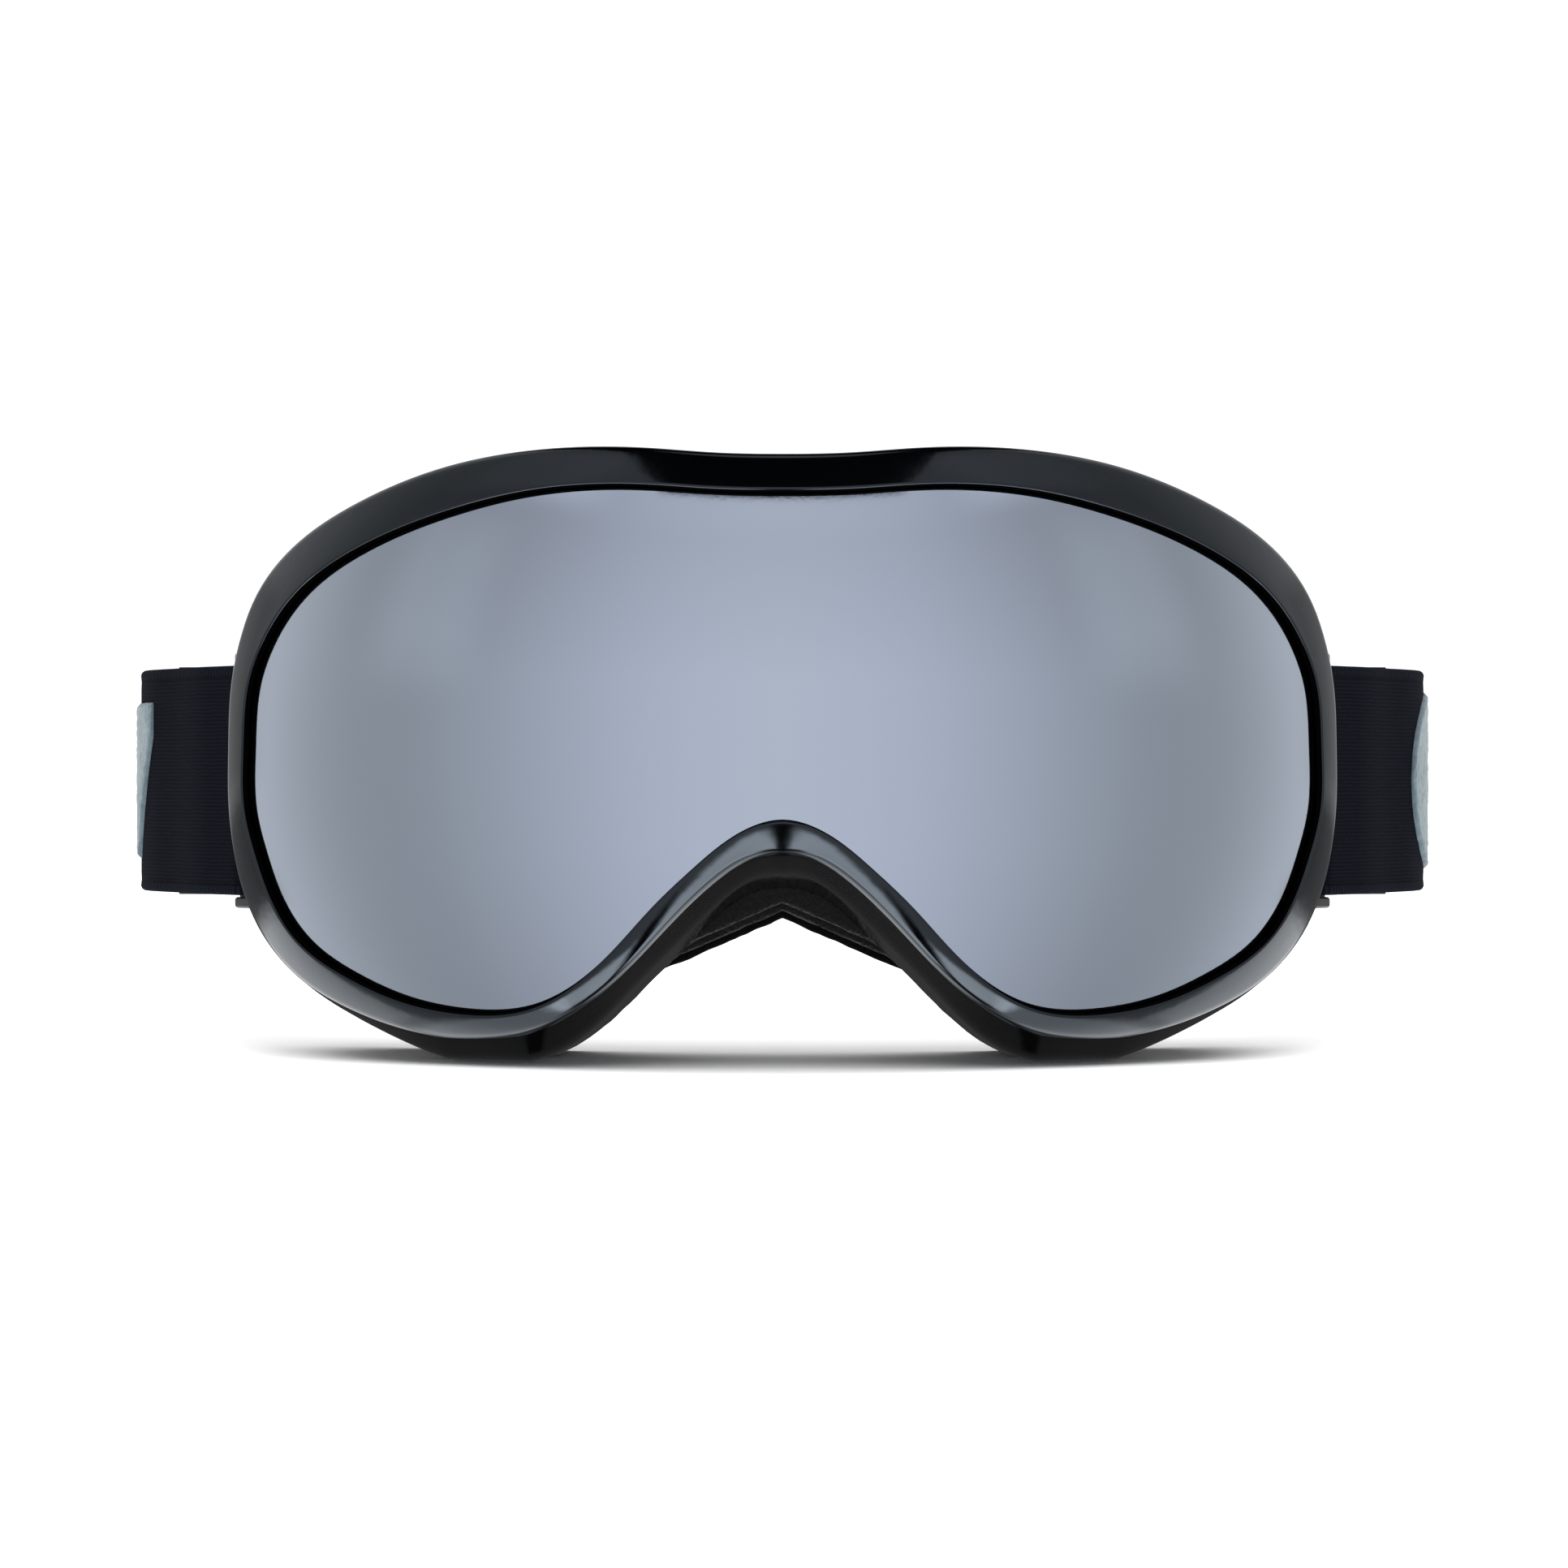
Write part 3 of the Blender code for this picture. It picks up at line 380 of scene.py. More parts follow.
def webbing_look():
    """Knitted elastic: fine warp cords, weft crossings between them, a plain selvedge and a seam by each edge."""
    look, tree, shader = new_look("webbing", Sheen_Weight=0.012, Sheen_Roughness=0.45, Specular_IOR_Level=0.05)
    shader.inputs["Sheen Tint"].default_value = (0.45, 0.5, 0.65, 1)
    # The webbing's own coordinates are millimetres along the strap and up across it.
    spot = add(tree, "ShaderNodeSeparateXYZ", Vector=add(tree, "ShaderNodeUVMap", {"uv_map": "web"}).outputs["UV"])
    along, up = spot.outputs["X"], spot.outputs["Y"]
    wander = maths(tree, "MULTIPLY", maths(tree, "SUBTRACT", object_noise(tree, 300, 3), 0.5), 0.35)
    cords = stripes(tree, maths(tree, "ADD", up, wander), RIB_PITCH)
    cord = maths(tree, "FLOOR", maths(tree, "DIVIDE", up, RIB_PITCH))
    shifted = maths(tree, "ADD", along, maths(tree, "MULTIPLY", cord, RIB_PITCH / 2))
    crossings = stripes(tree, maths(tree, "ADD", shifted, wander), RIB_PITCH)
    body = maths(tree, "MULTIPLY", cords, crossings)
    selvedge = stripes(tree, along, SELVEDGE_PITCH)
    height = mix(tree, along_edges(tree, up, -1.0, SELVEDGE_WIDE), body, selvedge)
    seam = along_edges(tree, up, *SEAM, 0.12)
    fuzz = object_noise(tree, 1600, 4, 0.7)
    value = add(tree, "ShaderNodeSeparateColor", Color=height).outputs["Red"]
    # The colour follows the knit's relief: darker in the valleys between cords and crossings, painted shade, mixed
    # with the fuzz's random tone.
    weave_shade_and_fuzz = weighed(tree, value, 0.55, fuzz, 0.5)
    colour = ramp(tree, weave_shade_and_fuzz, ((0.2, (0.0019, 0.0025, 0.0054)), (0.9, (0.0082, 0.0104, 0.0190))))
    colour = mix(tree, seam, colour, (0.003, 0.003, 0.005, 1))
    pile = maths(tree, "SUBTRACT", maths(tree, "MULTIPLY_ADD", fuzz, 0.35, value), maths(tree, "MULTIPLY", seam, 1.2))
    feed(tree, shader, Base_Color=colour, Roughness=ramp(tree, fuzz, ((0.2, 0.78), (0.8, 0.95))))
    feed(tree, shader, Normal=bump(tree, pile, 0.55, 0.00018))
    return look


def flock_look():
    look, tree, shader = new_look("flock", Sheen_Weight=0.5, Sheen_Roughness=0.4, Specular_IOR_Level=0.1)
    tufts = object_noise(tree, 700, 5, 0.75)
    patches = object_noise(tree, 160, 3, 0.6)
    pile = weighed(tree, tufts, 0.65, patches, 0.35)
    # The colour follows the pile's relief: darker where it is low, painted shade between the tufts, over random
    # mottling.
    colour = ramp(
        tree,
        pile,
        ((0.3, (0.094, 0.138, 0.158)), (0.5, (0.160, 0.218, 0.244)), (0.72, (0.240, 0.305, 0.334))),
    )
    feed(tree, shader, Base_Color=colour, Roughness=ramp(tree, tufts, ((0.2, 0.88), (0.8, 1.0))))
    feed(tree, shader, Normal=bump(tree, pile, 0.8, 0.0005))
    return look


def moulded_look(name, dark, light, grain):
    """Satin nylon with the fine grain of a spark-eroded mould."""
    look, tree, shader = new_look(name, IOR=1.5)
    texture = object_noise(tree, grain, 4, 0.6)
    rubbed = object_noise(tree, 140, 3)
    feed(tree, shader, Base_Color=ramp(tree, rubbed, ((0.3, dark), (0.7, light))))
    feed(tree, shader, Roughness=ramp(tree, rubbed, ((0.3, 0.28), (0.7, 0.42))))
    feed(tree, shader, Normal=bump(tree, texture, 0.18, 0.0001))
    return look


LOOKS = {
    "frame": gloss_frame_look(),
    # The rim's wall beside the lens: near-black, painted shade standing in for the shade in the groove between lens
    # and rim.
    "groove_shade": plain_look(
        "groove_painted_shade",
        (700, 3),
        ((0.3, 0.0003), (0.7, 0.0007)),
        ((0.3, 0.7), (0.7, 0.85)),
        Specular_IOR_Level=0.02,
    ),
    "mirror": mirror_lens_look(),
    "smoke": smoke_look(),
    "clear": plain_look(
        "clear_lens",
        (120, 4),
        ((0.3, (0.78, 0.81, 0.84)), (0.7, (0.84, 0.86, 0.88))),
        ((0.3, 0.02), (0.8, 0.05)),
        IOR=1.5,
        Transmission_Weight=1.0,
    ),
    "foam": foam_look("face_foam", (0.0028, 0.0028, 0.0031), (0.0125, 0.0125, 0.0132), 1700, 0.0005),
    "spacer": foam_look("spacer_foam", (0.008, 0.008, 0.009), (0.026, 0.026, 0.028), 2200, 0.0003),
    "vent": foam_look("vent_foam", (0.006, 0.006, 0.007), (0.045, 0.045, 0.048), 800, 0.001),
    "fleece": fleece_look(),
    "web": webbing_look(),
    "flock": flock_look(),
    "arm": moulded_look("arm_nylon", (0.013, 0.013, 0.015), (0.021, 0.021, 0.024), 2600),
    "slider": moulded_look("slider_acetal", (0.011, 0.011, 0.013), (0.018, 0.018, 0.021), 3200),
    "steel": plain_look(
        "pin_steel",
        (900, 3, 0.6, (1, 1, 6)),
        ((0.3, (0.42, 0.42, 0.43)), (0.7, (0.62, 0.62, 0.62))),
        ((0.3, 0.22), (0.7, 0.38)),
        Metallic=1.0,
    ),
    "silicone": plain_look(
        "silicone",
        (420, 4),
        ((0.3, (0.040, 0.042, 0.048)), (0.75, (0.075, 0.078, 0.085))),
        ((0.3, 0.34), (0.8, 0.5)),
        (0.2, 0.0001),
        IOR=1.43,
        Subsurface_Weight=0.1,
        Coat_Weight=0.2,
        Coat_Roughness=0.3,
    ),
    "thread": plain_look(
        "thread",
        (4200, 2, 0.6),
        ((0.3, (0.012, 0.014, 0.020)), (0.75, (0.040, 0.046, 0.060))),
        ((0.3, 0.6), (0.8, 0.8)),
        (0.5, 0.0001),
        Sheen_Weight=0.4,
        Sheen_Roughness=0.4,
    ),
}


# ---- meshes


def placed(points):
    return (np.asarray(points, float) - (0, ORIGIN_Y, 0)) * MM


def smoothed(mesh, angle):
    """Shades a mesh smooth, apart from edges sharper than so many degrees."""
    mesh.shade_smooth()
    mesh.set_sharp_from_angle(angle=radians(angle))


def add_piece(name, points, faces, look, smooth=40, uvs=None, triangles=False, inlay=None):
    """A closed piece. An inlay is a second look and the faces that wear it."""
    mesh = bpy.data.meshes.new(name)
    mesh.from_pydata(placed(points).tolist(), [], [list(map(int, face)) for face in faces])
    mesh.materials.append(LOOKS[look])
    if inlay:
        mesh.materials.append(LOOKS[inlay[0]])
        mesh.polygons.foreach_set("material_index", inlay[1])
    if uvs is not None:
        layer = mesh.uv_layers.new(name="web")
        for loop in mesh.loops:
            layer.data[loop.index].uv = uvs[loop.vertex_index]
    body = bmesh.new()
    body.from_mesh(mesh)
    if triangles:
        bmesh.ops.triangulate(body, faces=body.faces)
    bmesh.ops.recalc_face_normals(body, faces=body.faces)
    if body.calc_volume(signed=True) < 0:
        bmesh.ops.reverse_faces(body, faces=body.faces)
    body.to_mesh(mesh)
    body.free()
    smoothed(mesh, smooth)
    made = bpy.data.objects.new(name, mesh)
    bpy.context.scene.collection.objects.link(made)
    return made


def loft(sections, closed):
    """Points and faces of a solid swept through equal sections: a closed ring, or a bar with two caps."""
    count, width = len(sections), len(sections[0])
    points = np.reshape(sections, (-1, 3))
    faces = []
    for i in range(count if closed else count - 1):
        here, after = i * width, (i + 1) % count * width
        for j in range(width):
            k = (j + 1) % width
            faces.append((here + j, here + k, after + k, after + j))
    if not closed:
        faces.append(range(width))
        faces.append(range((count - 1) * width, count * width))
    return points, faces


def merged(*solids):
    points, faces = [], []
    for shape_points, shape_faces in solids:
        start = len(points)
        points.extend(np.asarray(shape_points, float).tolist())
        faces.extend([start + int(p) for p in face] for face in shape_faces)
    return points, faces


def prism(outline, low, high):
    sections = [[(x, y, z) for x, y in outline] for z in (low, high)]
    return loft(sections, closed=False)


def circle(centre, radius, sides=40):
    angles = np.arange(sides) * 2 * pi / sides
    return [(centre[0] + radius * cos(a), centre[1] + radius * sin(a)) for a in angles]


def slot_outline(centre, size, sides=14):
    radius = size[1] / 2
    reach = size[0] / 2 - radius
    right = [-pi / 2 + pi * i / sides for i in range(sides + 1)]
    outline = [(centre[0] + reach + radius * cos(a), centre[1] + radius * sin(a)) for a in right]
    outline += [(centre[0] - reach - radius * cos(a), centre[1] - radius * sin(a)) for a in right]
    return outline


def combine(target, solid, operation):
    """Adds a solid to a piece, or cuts it out, and keeps the result as the piece's mesh."""
    other = add_piece("tool", *solid, "frame", triangles=True)
    modifier = target.modifiers.new("combine", "BOOLEAN")
    modifier.object = other
    modifier.operation = operation
    modifier.solver = "EXACT"
    keep_modifiers(target)
    bpy.data.objects.remove(other)


def keep_modifiers(target):
    graph = bpy.context.evaluated_depsgraph_get()
    target.data = bpy.data.meshes.new_from_object(target.evaluated_get(graph))
    target.modifiers.clear()


def bevel(target, width):
    modifier = target.modifiers.new("bevel", "BEVEL")
    modifier.width = width * MM
    modifier.segments = 3
    modifier.limit_method = "ANGLE"
    modifier.angle_limit = radians(35)
    modifier.harden_normals = True
    keep_modifiers(target)
    smoothed(target.data, 40)


def rounded(lines, radii, steps=4):
    """Closed sections, one row of corners each, with every corner rounded off by its radius."""
    before, after = np.roll(lines, 1, axis=1), np.roll(lines, -1, axis=1)
    found = []
    for j, radius in enumerate(radii):
        corner = lines[:, j]
        if not radius:
            found.append(corner)
            continue
        ends = []
        for other in (before[:, j], after[:, j]):
            leg = other - corner
            length = np.linalg.norm(leg, axis=1)[:, None]
            ends.append(corner + leg / length * np.minimum(radius, 0.45 * length))
        for k in range(steps + 1):
            t = k / steps
            found.append((1 - t) ** 2 * ends[0] + 2 * t * (1 - t) * corner + t * t * ends[1])
    return np.stack(found, axis=1)


def filled_in(lines, spacing):
    """Sections with points added along their long straight sides."""
    found = []
    for j in range(lines.shape[1]):
        here, after = lines[:, j], lines[:, (j + 1) % lines.shape[1]]
        count = max(1, round(float(np.linalg.norm(after - here, axis=1).mean()) / spacing))
        found += [here + (after - here) * k / count for k in range(count)]
    return np.stack(found, axis=1)


# ---- the frame's stations


def periodic_spline(at, rows):
    step = np.diff(at)
    count = len(step)
    matrix = np.zeros((count, count))
    right = np.zeros((count, rows.shape[1]))
    for i in range(count):
        before = (i - 1) % count
        matrix[i, before] += step[before]
        matrix[i, i] += 2 * (step[before] + step[i])
        matrix[i, (i + 1) % count] += step[i]
        right[i] = 6 * ((rows[i + 1] - rows[i]) / step[i] - (rows[i] - rows[before]) / step[before])
    bend = np.linalg.solve(matrix, right)
    bend = np.vstack([bend, bend[:1]])

    def curve(t):
        i = np.clip(np.searchsorted(at, t, side="right") - 1, 0, count - 1)
        h = step[i][:, None]
        a = (at[i + 1] - t)[:, None] / h
        b = 1 - a
        bowed = ((a**3 - a) * bend[i] + (b**3 - b) * bend[i + 1]) * h**2 / 6
        return a * rows[i] + b * rows[i + 1] + bowed

    return curve


def outward(edge):
    along = np.roll(edge, -1, axis=0) - np.roll(edge, 1, axis=0)
    normal = np.stack([-along[:, 1], along[:, 0]], axis=1)
    return normal / np.linalg.norm(normal, axis=1)[:, None]


def stations():
    half = np.array(OUTLINE)
    other = half[1:-1][::-1] * OTHER_SIDE
    rows = np.vstack([half, other, half[:1]])
    at = np.concatenate([[0], np.cumsum(np.linalg.norm(np.diff(rows[:, :2], axis=0), axis=1))])
    curve = periodic_spline(at, rows)
    fine = np.linspace(0, at[len(half) - 1], 4000)
    edge = curve(fine)[:, :2]
    along = np.diff(edge, axis=0)
    turn = np.abs(np.diff(np.unwrap(np.arctan2(along[:, 1], along[:, 0]))))
    measure = np.linalg.norm(along, axis=1) / STATION_LENGTH
    measure[1:] += turn / STATION_TURN
    total = np.concatenate([[0], np.cumsum(measure)])
    t = np.interp(np.linspace(0, total[-1], HALF_STATIONS + 1), total, fine)
    side = curve(t)
    side[[0, -1]] = half[[0, -1]]
    return np.vstack([side, side[1:-1][::-1] * OTHER_SIDE])


ROWS = stations()
EDGE = ROWS[:, :2]
EDGE_OUT = outward(EDGE)
RIM_WIDTH = ROWS[:, 2]
REAR = ROWS[:, 4:6]
REAR_OUT = outward(REAR)
POCKET = np.clip(ROWS[:, 6], 0, 1)[:, None]


def sphere_y(x, z):
    return LENS_RADIUS - np.sqrt(LENS_RADIUS**2 - x**2 - (z - LENS_CENTRE_Z) ** 2)


def on_lens(spots, beyond, proud):
    x, z = spots[:, 0], spots[:, 1]
    base = np.stack([x, sphere_y(x, z), z], axis=1)
    normal = (base - (0, LENS_RADIUS, LENS_CENTRE_Z)) / LENS_RADIUS
    out = np.stack([EDGE_OUT[:, 0], np.zeros(len(x)), EDGE_OUT[:, 1]], axis=1)
    tangent = out - normal * (out * normal).sum(axis=1)[:, None]
    tangent /= np.linalg.norm(tangent, axis=1)[:, None]
    return base + tangent * np.reshape(beyond, (-1, 1)) + normal * np.reshape(proud, (-1, 1))


def edge_proud():
    share = np.clip(1 - np.abs(EDGE[:, 0]) / NOSE_BEVEL_HALF, 0, 1) * (EDGE[:, 1] < NOSE_BEVEL_TOP)
    return RIM_EDGE_PROUD - NOSE_BEVEL_DROP * share * share * (3 - 2 * share)


def face_y(x):
    return FACE_Y + x**2 / (2 * FACE_RADIUS)


def at_depth(spots, y):
    return np.stack([spots[:, 0], np.broadcast_to(y, len(spots)), spots[:, 1]], axis=1)


def standing(points):
    lifted = np.array(points)
    lifted[..., 2] = np.maximum(lifted[..., 2], 0)
    return lifted


def moved_y(points, by):
    moved = np.array(points)
    moved[:, 1] += by
    return moved


GROOVE = np.minimum(GROOVE_MOST, GROOVE_SHARE * RIM_WIDTH)
RIM = on_lens(EDGE, RIM_WIDTH, edge_proud())
BREAK_Y = RIM[:, 1] + WALL_BREAK + (LIP_BREAK - WALL_BREAK) * POCKET[:, 0]
BROKEN = standing(at_depth(RIM[:, [0, 2]] + EDGE_OUT * ROWS[:, 3:4], BREAK_Y))
FLANGE = standing(at_depth(REAR, face_y(REAR[:, 0])))
MIDDLE = standing((BROKEN + FLANGE) / 2 * (1 - POCKET) + at_depth(REAR, BREAK_Y + 1) * POCKET)
INTO = -np.stack([REAR_OUT[:, 0], np.zeros(len(REAR)), REAR_OUT[:, 1]], axis=1)
INTO_RIM = -np.stack([EDGE_OUT[:, 0], np.zeros(len(EDGE)), EDGE_OUT[:, 1]], axis=1)


# ---- frame


def frame_sections():
    flange_in = FLANGE + INTO * FLANGE_WIDE
    flange_in[:, 1] = face_y(flange_in[:, 0])
    seat = on_lens(EDGE, 0.2, -SEAT_DEPTH)
    rear_in = moved_y(FLANGE + INTO * WALL, -FLANGE_THICK)
    middle_in = moved_y(MIDDLE + INTO * WALL, -1.5 * POCKET[:, 0])
    open_broken = BROKEN + INTO_RIM * WALL
    open_rim = moved_y(RIM + INTO_RIM * np.minimum(2.6, 0.62 * RIM_WIDTH)[:, None], 4.0)
    broken_in = open_broken + (middle_in + (seat - middle_in) / 3 - open_broken) * POCKET
    rim_in = open_rim + (middle_in + (seat - middle_in) * 2 / 3 - open_rim) * POCKET
    crown = (RIM_PROUD + edge_proud()) / 2 + RIM_CROWN
    behind = LENS_PROUD - LENS_THICK - GAP
    corners = (
        (on_lens(EDGE, 0.0, LENS_PROUD + GAP), 0),
        (on_lens(EDGE, 0.0, RIM_PROUD), 0.4),
        (on_lens(EDGE, RIM_WIDTH / 2, crown), 3.0),
        (RIM, 1.1),
        (BROKEN, 4.5),
        (MIDDLE, 3.0),
        (FLANGE, 0.8),
        (flange_in, 0.6),
        (moved_y(flange_in, -FLANGE_THICK), 0.6),
        (rear_in, 0.8),
        (middle_in, 2.0),
        (broken_in, 1.0),
        (rim_in, 1.0),
        (seat, 0.3),
        (on_lens(EDGE, 0.2, behind), 0),
        (on_lens(EDGE, GROOVE, behind), 0),
        (on_lens(EDGE, GROOVE, LENS_PROUD + GAP), 0),
    )
    lines = np.stack([line for line, _ in corners], axis=1)
    return standing(filled_in(rounded(lines, [radius for _, radius in corners], 5), 1.7))


def arm_spot(side, along, offset):
    x = PIN_XY[0] + along * cos(STRAP_HEADING) + offset * sin(STRAP_HEADING)
    y = PIN_XY[1] + along * sin(STRAP_HEADING) - offset * cos(STRAP_HEADING)
    return side * x, y


ARM_LOW = WEB_Z - GAP - ARM_PLATE
ARM_HIGH = WEB_Z + WEB_WIDE + GAP + ARM_PLATE
LUG_LEVELS = ((ARM_LOW - GAP - LUG_THICK, ARM_LOW - GAP), (ARM_HIGH + GAP, ARM_HIGH + GAP + LUG_THICK))


def softened(outline, low, high, radius):
    """An upright prism over a convex outline, with its top and bottom edges rounded off."""
    steps = 4
    flat = np.array(outline)
    centre = flat.mean(axis=0)
    reach = np.linalg.norm(flat - centre, axis=1)[:, None]
    sections = []
    turns = [pi / 2 * k / steps for k in range(steps + 1)]
    for z, order, sign in ((low, turns, 1), (high, turns[::-1], -1)):
        for turn in order:
            inset = radius * (1 - sin(turn))
            level = z + sign * radius * (1 - cos(turn))
            ring = centre + (flat - centre) * (1 - inset / reach)
            sections.append([(x, y, level) for x, y in ring])
    return loft(sections, closed=False)


def pin_circle(side, radius):
    return circle((side * PIN_XY[0], PIN_XY[1]), radius)


def lug_outline(side):
    arc = [-pi / 2 + pi * i / 24 for i in range(25)]
    outline = [(LUG_ROOT_X, PIN_XY[1] - LUG_RADIUS)]
    outline += [(PIN_XY[0] + LUG_RADIUS * cos(a), PIN_XY[1] + LUG_RADIUS * sin(a)) for a in arc]
    outline.append((LUG_ROOT_X, PIN_XY[1] + LUG_RADIUS))
    return [(side * x, y) for x, y in outline]


def vent_slots():
    slots = []
    for places, size, low, high in VENT_ROWS:
        for x in places:
            for side, _ in SIDES:
                centre = (side * x, face_y(x) - VENT_BEFORE_FLANGE)
                slots.append(prism(slot_outline(centre, size), low, high))
    return merged(*slots)


GROOVE_SHADE_COLUMNS = (0, 1)  # the faces of each section that make the wall of the rim beside the lens, near-black as painted shade in the groove
CUT_SMOOTH = 38


def make_frame():
    sections = frame_sections()
    width = sections.shape[1]
    # These faces take the near-black painted shade of the groove instead of the frame's gloss.
    wall = [int(column % width in GROOVE_SHADE_COLUMNS) for column in range(len(sections) * width)]
    shell = add_piece(
        "goggle_frame", *loft(sections, closed=True), "frame", triangles=True, inlay=("groove_shade", wall)
    )
    for side, _ in SIDES:
        lugs = [softened(lug_outline(side), low, high, 0.5) for low, high in LUG_LEVELS]
        combine(shell, merged(*lugs), "UNION")
        hole = prism(pin_circle(side, HOLE_RADIUS), ARM_LOW - 12, ARM_HIGH + 12)
        combine(shell, hole, "DIFFERENCE")
    combine(shell, vent_slots(), "DIFFERENCE")
    smoothed(shell.data, CUT_SMOOTH)
    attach(shell, "goggle")
    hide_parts("frame")


def keep_first_material(target):
    look = target.data.materials[0]
    target.data.materials.clear()
    target.data.materials.append(look)
    for face in target.data.polygons:
        face.material_index = 0


# ---- lenses


def lens_solid(beyond, front, thick):
    """A cap of the lens's sphere out to the outline, with two curved faces."""
    rings = 26
    centre = np.array((0.0, 60.0))
    count = len(EDGE)
    layers = []
    for proud in (front, front - thick):
        layers.append(on_lens(EDGE, beyond, proud))
        for k in range(1, rings):
            spots = centre + (EDGE - centre) * (1 - k / rings)
            fade = (1 - k / rings) ** 2
            layers.append(on_lens(spots, beyond * fade, proud))
    middles = [on_lens(np.repeat(centre[None], count, 0), 0.0, p)[:1] for p in (front, front - thick)]
    points = np.vstack(layers + middles)
    faces = []
    for face in range(2):
        first = face * rings * count
        middle = 2 * rings * count + face
        for k in range(rings - 1):
            for i in range(count):
                a, b = first + k * count + i, first + k * count + (i + 1) % count
                faces.append((a, b, b + count, a + count))
        last = first + (rings - 1) * count
        faces += [(last + i, last + (i + 1) % count, middle) for i in range(count)]
    back = rings * count
    faces += [(i, (i + 1) % count, back + (i + 1) % count, back + i) for i in range(count)]
    return points, faces


def make_lenses():
    lens = add_piece("mirror_lens", *lens_solid(GROOVE - 0.4, LENS_PROUD, LENS_THICK), "mirror", 50)
    lens.data.materials.append(LOOKS["smoke"])
    for face in lens.data.polygons:
        face.material_index = int(face.normal.y > 0.2)
    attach(lens, "goggle")
    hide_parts("outer_lens")

    spacer_front = LENS_PROUD - LENS_THICK - GAP
    spacer_back = -LENS_THICK - GAP - SPACER_THICK
    corners = [(-SPACER_INSET, spacer_front), (-SPACER_INSET, spacer_back)]
    corners += [(-SPACER_INSET - SPACER_WIDE, proud) for _, proud in corners[::-1]]
    lines = np.stack([on_lens(EDGE, beyond, proud) for beyond, proud in corners], axis=1)
    spacer = add_piece("lens_gasket", *loft(filled_in(rounded(lines, [0.5] * 4), 1.2), closed=True), "spacer")
    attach(spacer, "goggle")
    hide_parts("lens_spacer")

    sheet = lens_solid(-SPACER_INSET, spacer_back - GAP, INNER_LENS_THICK)
    inner = add_piece("clear_inner_lens", *sheet, "clear", 50)
    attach(inner, "goggle")
    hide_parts("inner_lens")


# ---- foams


def notched(spots, raised):
    """The rear outline, cut to the inverted V over the nose."""
    cut = spots.copy()
    over_nose = (np.abs(cut[:, 0]) < NOTCH_HALF) & (cut[:, 1] < 40)
    notch = NOTCH_TOP + raised - NOTCH_SLOPE * np.abs(cut[:, 0])
    cut[over_nose, 1] = np.minimum(cut[over_nose, 1], notch[over_nose])
    return cut


def roughened(target, height, scale, seed):
    """Moves a soft piece's surface in and out a little, by noise that many millimetres wide."""
    mesh = target.data
    moved = []
    for vertex in mesh.vertices:
        at = vertex.co / (scale * MM) + Vector((seed, seed * 2, seed * 3))
        moved.append(vertex.co + vertex.normal * (noise.fractal(at, 0.9, 2.0, 3) * height * MM))
    for vertex, spot in zip(mesh.vertices, moved):
        vertex.co = spot
        vertex.co.z = max(vertex.co.z, 0.0)
    mesh.update()


def make_face_foams():
    depth = GAP
    for seed, (name, thick, raised) in enumerate(FOAM_LAYERS):
        outer = notched(REAR, raised)
        inner = REAR - REAR_OUT * FOAM_WIDE
        lines = []
        for spots, more in ((outer, depth), (outer, depth + thick), (inner, depth + thick), (inner, depth)):
            lines.append(standing(at_depth(spots, face_y(spots[:, 0]) + more)))
        rear = 1.7 if name == "face_fleece" else 0.9
        section = filled_in(rounded(np.stack(lines, axis=1), [0.9, rear, rear, 0.9], 4), 1.1)
        pad = add_piece(f"soft_{name}", *loft(section, closed=True), "fleece" if seed == 2 else "foam", 60)
        roughened(pad, 0.14 if seed < 2 else 0.22, 2.2 if seed < 2 else 3.5, seed + 1)
        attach(pad, "goggle")
        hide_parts(name)
        depth += thick + GAP


def vent_foam(name, chosen, seed):
    """A strip of open foam inside the wall, over the vents, along the chosen stations."""
    inner_front = BROKEN + INTO_RIM * WALL
    inner_back = FLANGE + INTO * WALL
    lines = []
    for share, lift in ((VENT_FOAM_FROM, 0), (1, 0), (1, VENT_FOAM_THICK), (VENT_FOAM_FROM, VENT_FOAM_THICK)):
        line = inner_front + (inner_back - inner_front) * share + INTO * (VENT_FOAM_LIFT + lift)
        line[:, 1] = np.minimum(line[:, 1], face_y(line[:, 0]) - FLANGE_THICK - 2 * GAP)
        lines.append(line)
    section = filled_in(rounded(np.stack(lines, axis=1)[chosen], [0.5] * 4, 3), 0.9)
    strip = add_piece(f"soft_{name}", *loft(section, closed=False), "vent", 60)
    roughened(strip, 0.15, 1.6, seed)
    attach(strip, "goggle")
    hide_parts(name)


def make_vent_foams():
    order = np.arange(-len(EDGE) // 2, len(EDGE) // 2)
    top = [i for i in order if abs(REAR[i, 0]) < TOP_FOAM_HALF and REAR[i, 1] > 60]
    vent_foam("top_vent_foam", top, 5)
    for side, word in SIDES:
        low = [i for i in order if LOW_FOAM_X[0] < side * REAR[i, 0] < LOW_FOAM_X[1] and REAR[i, 1] < 20]
        vent_foam(f"lower_vent_foam_{word}", low, 7 + side)


# ---- arms and pins


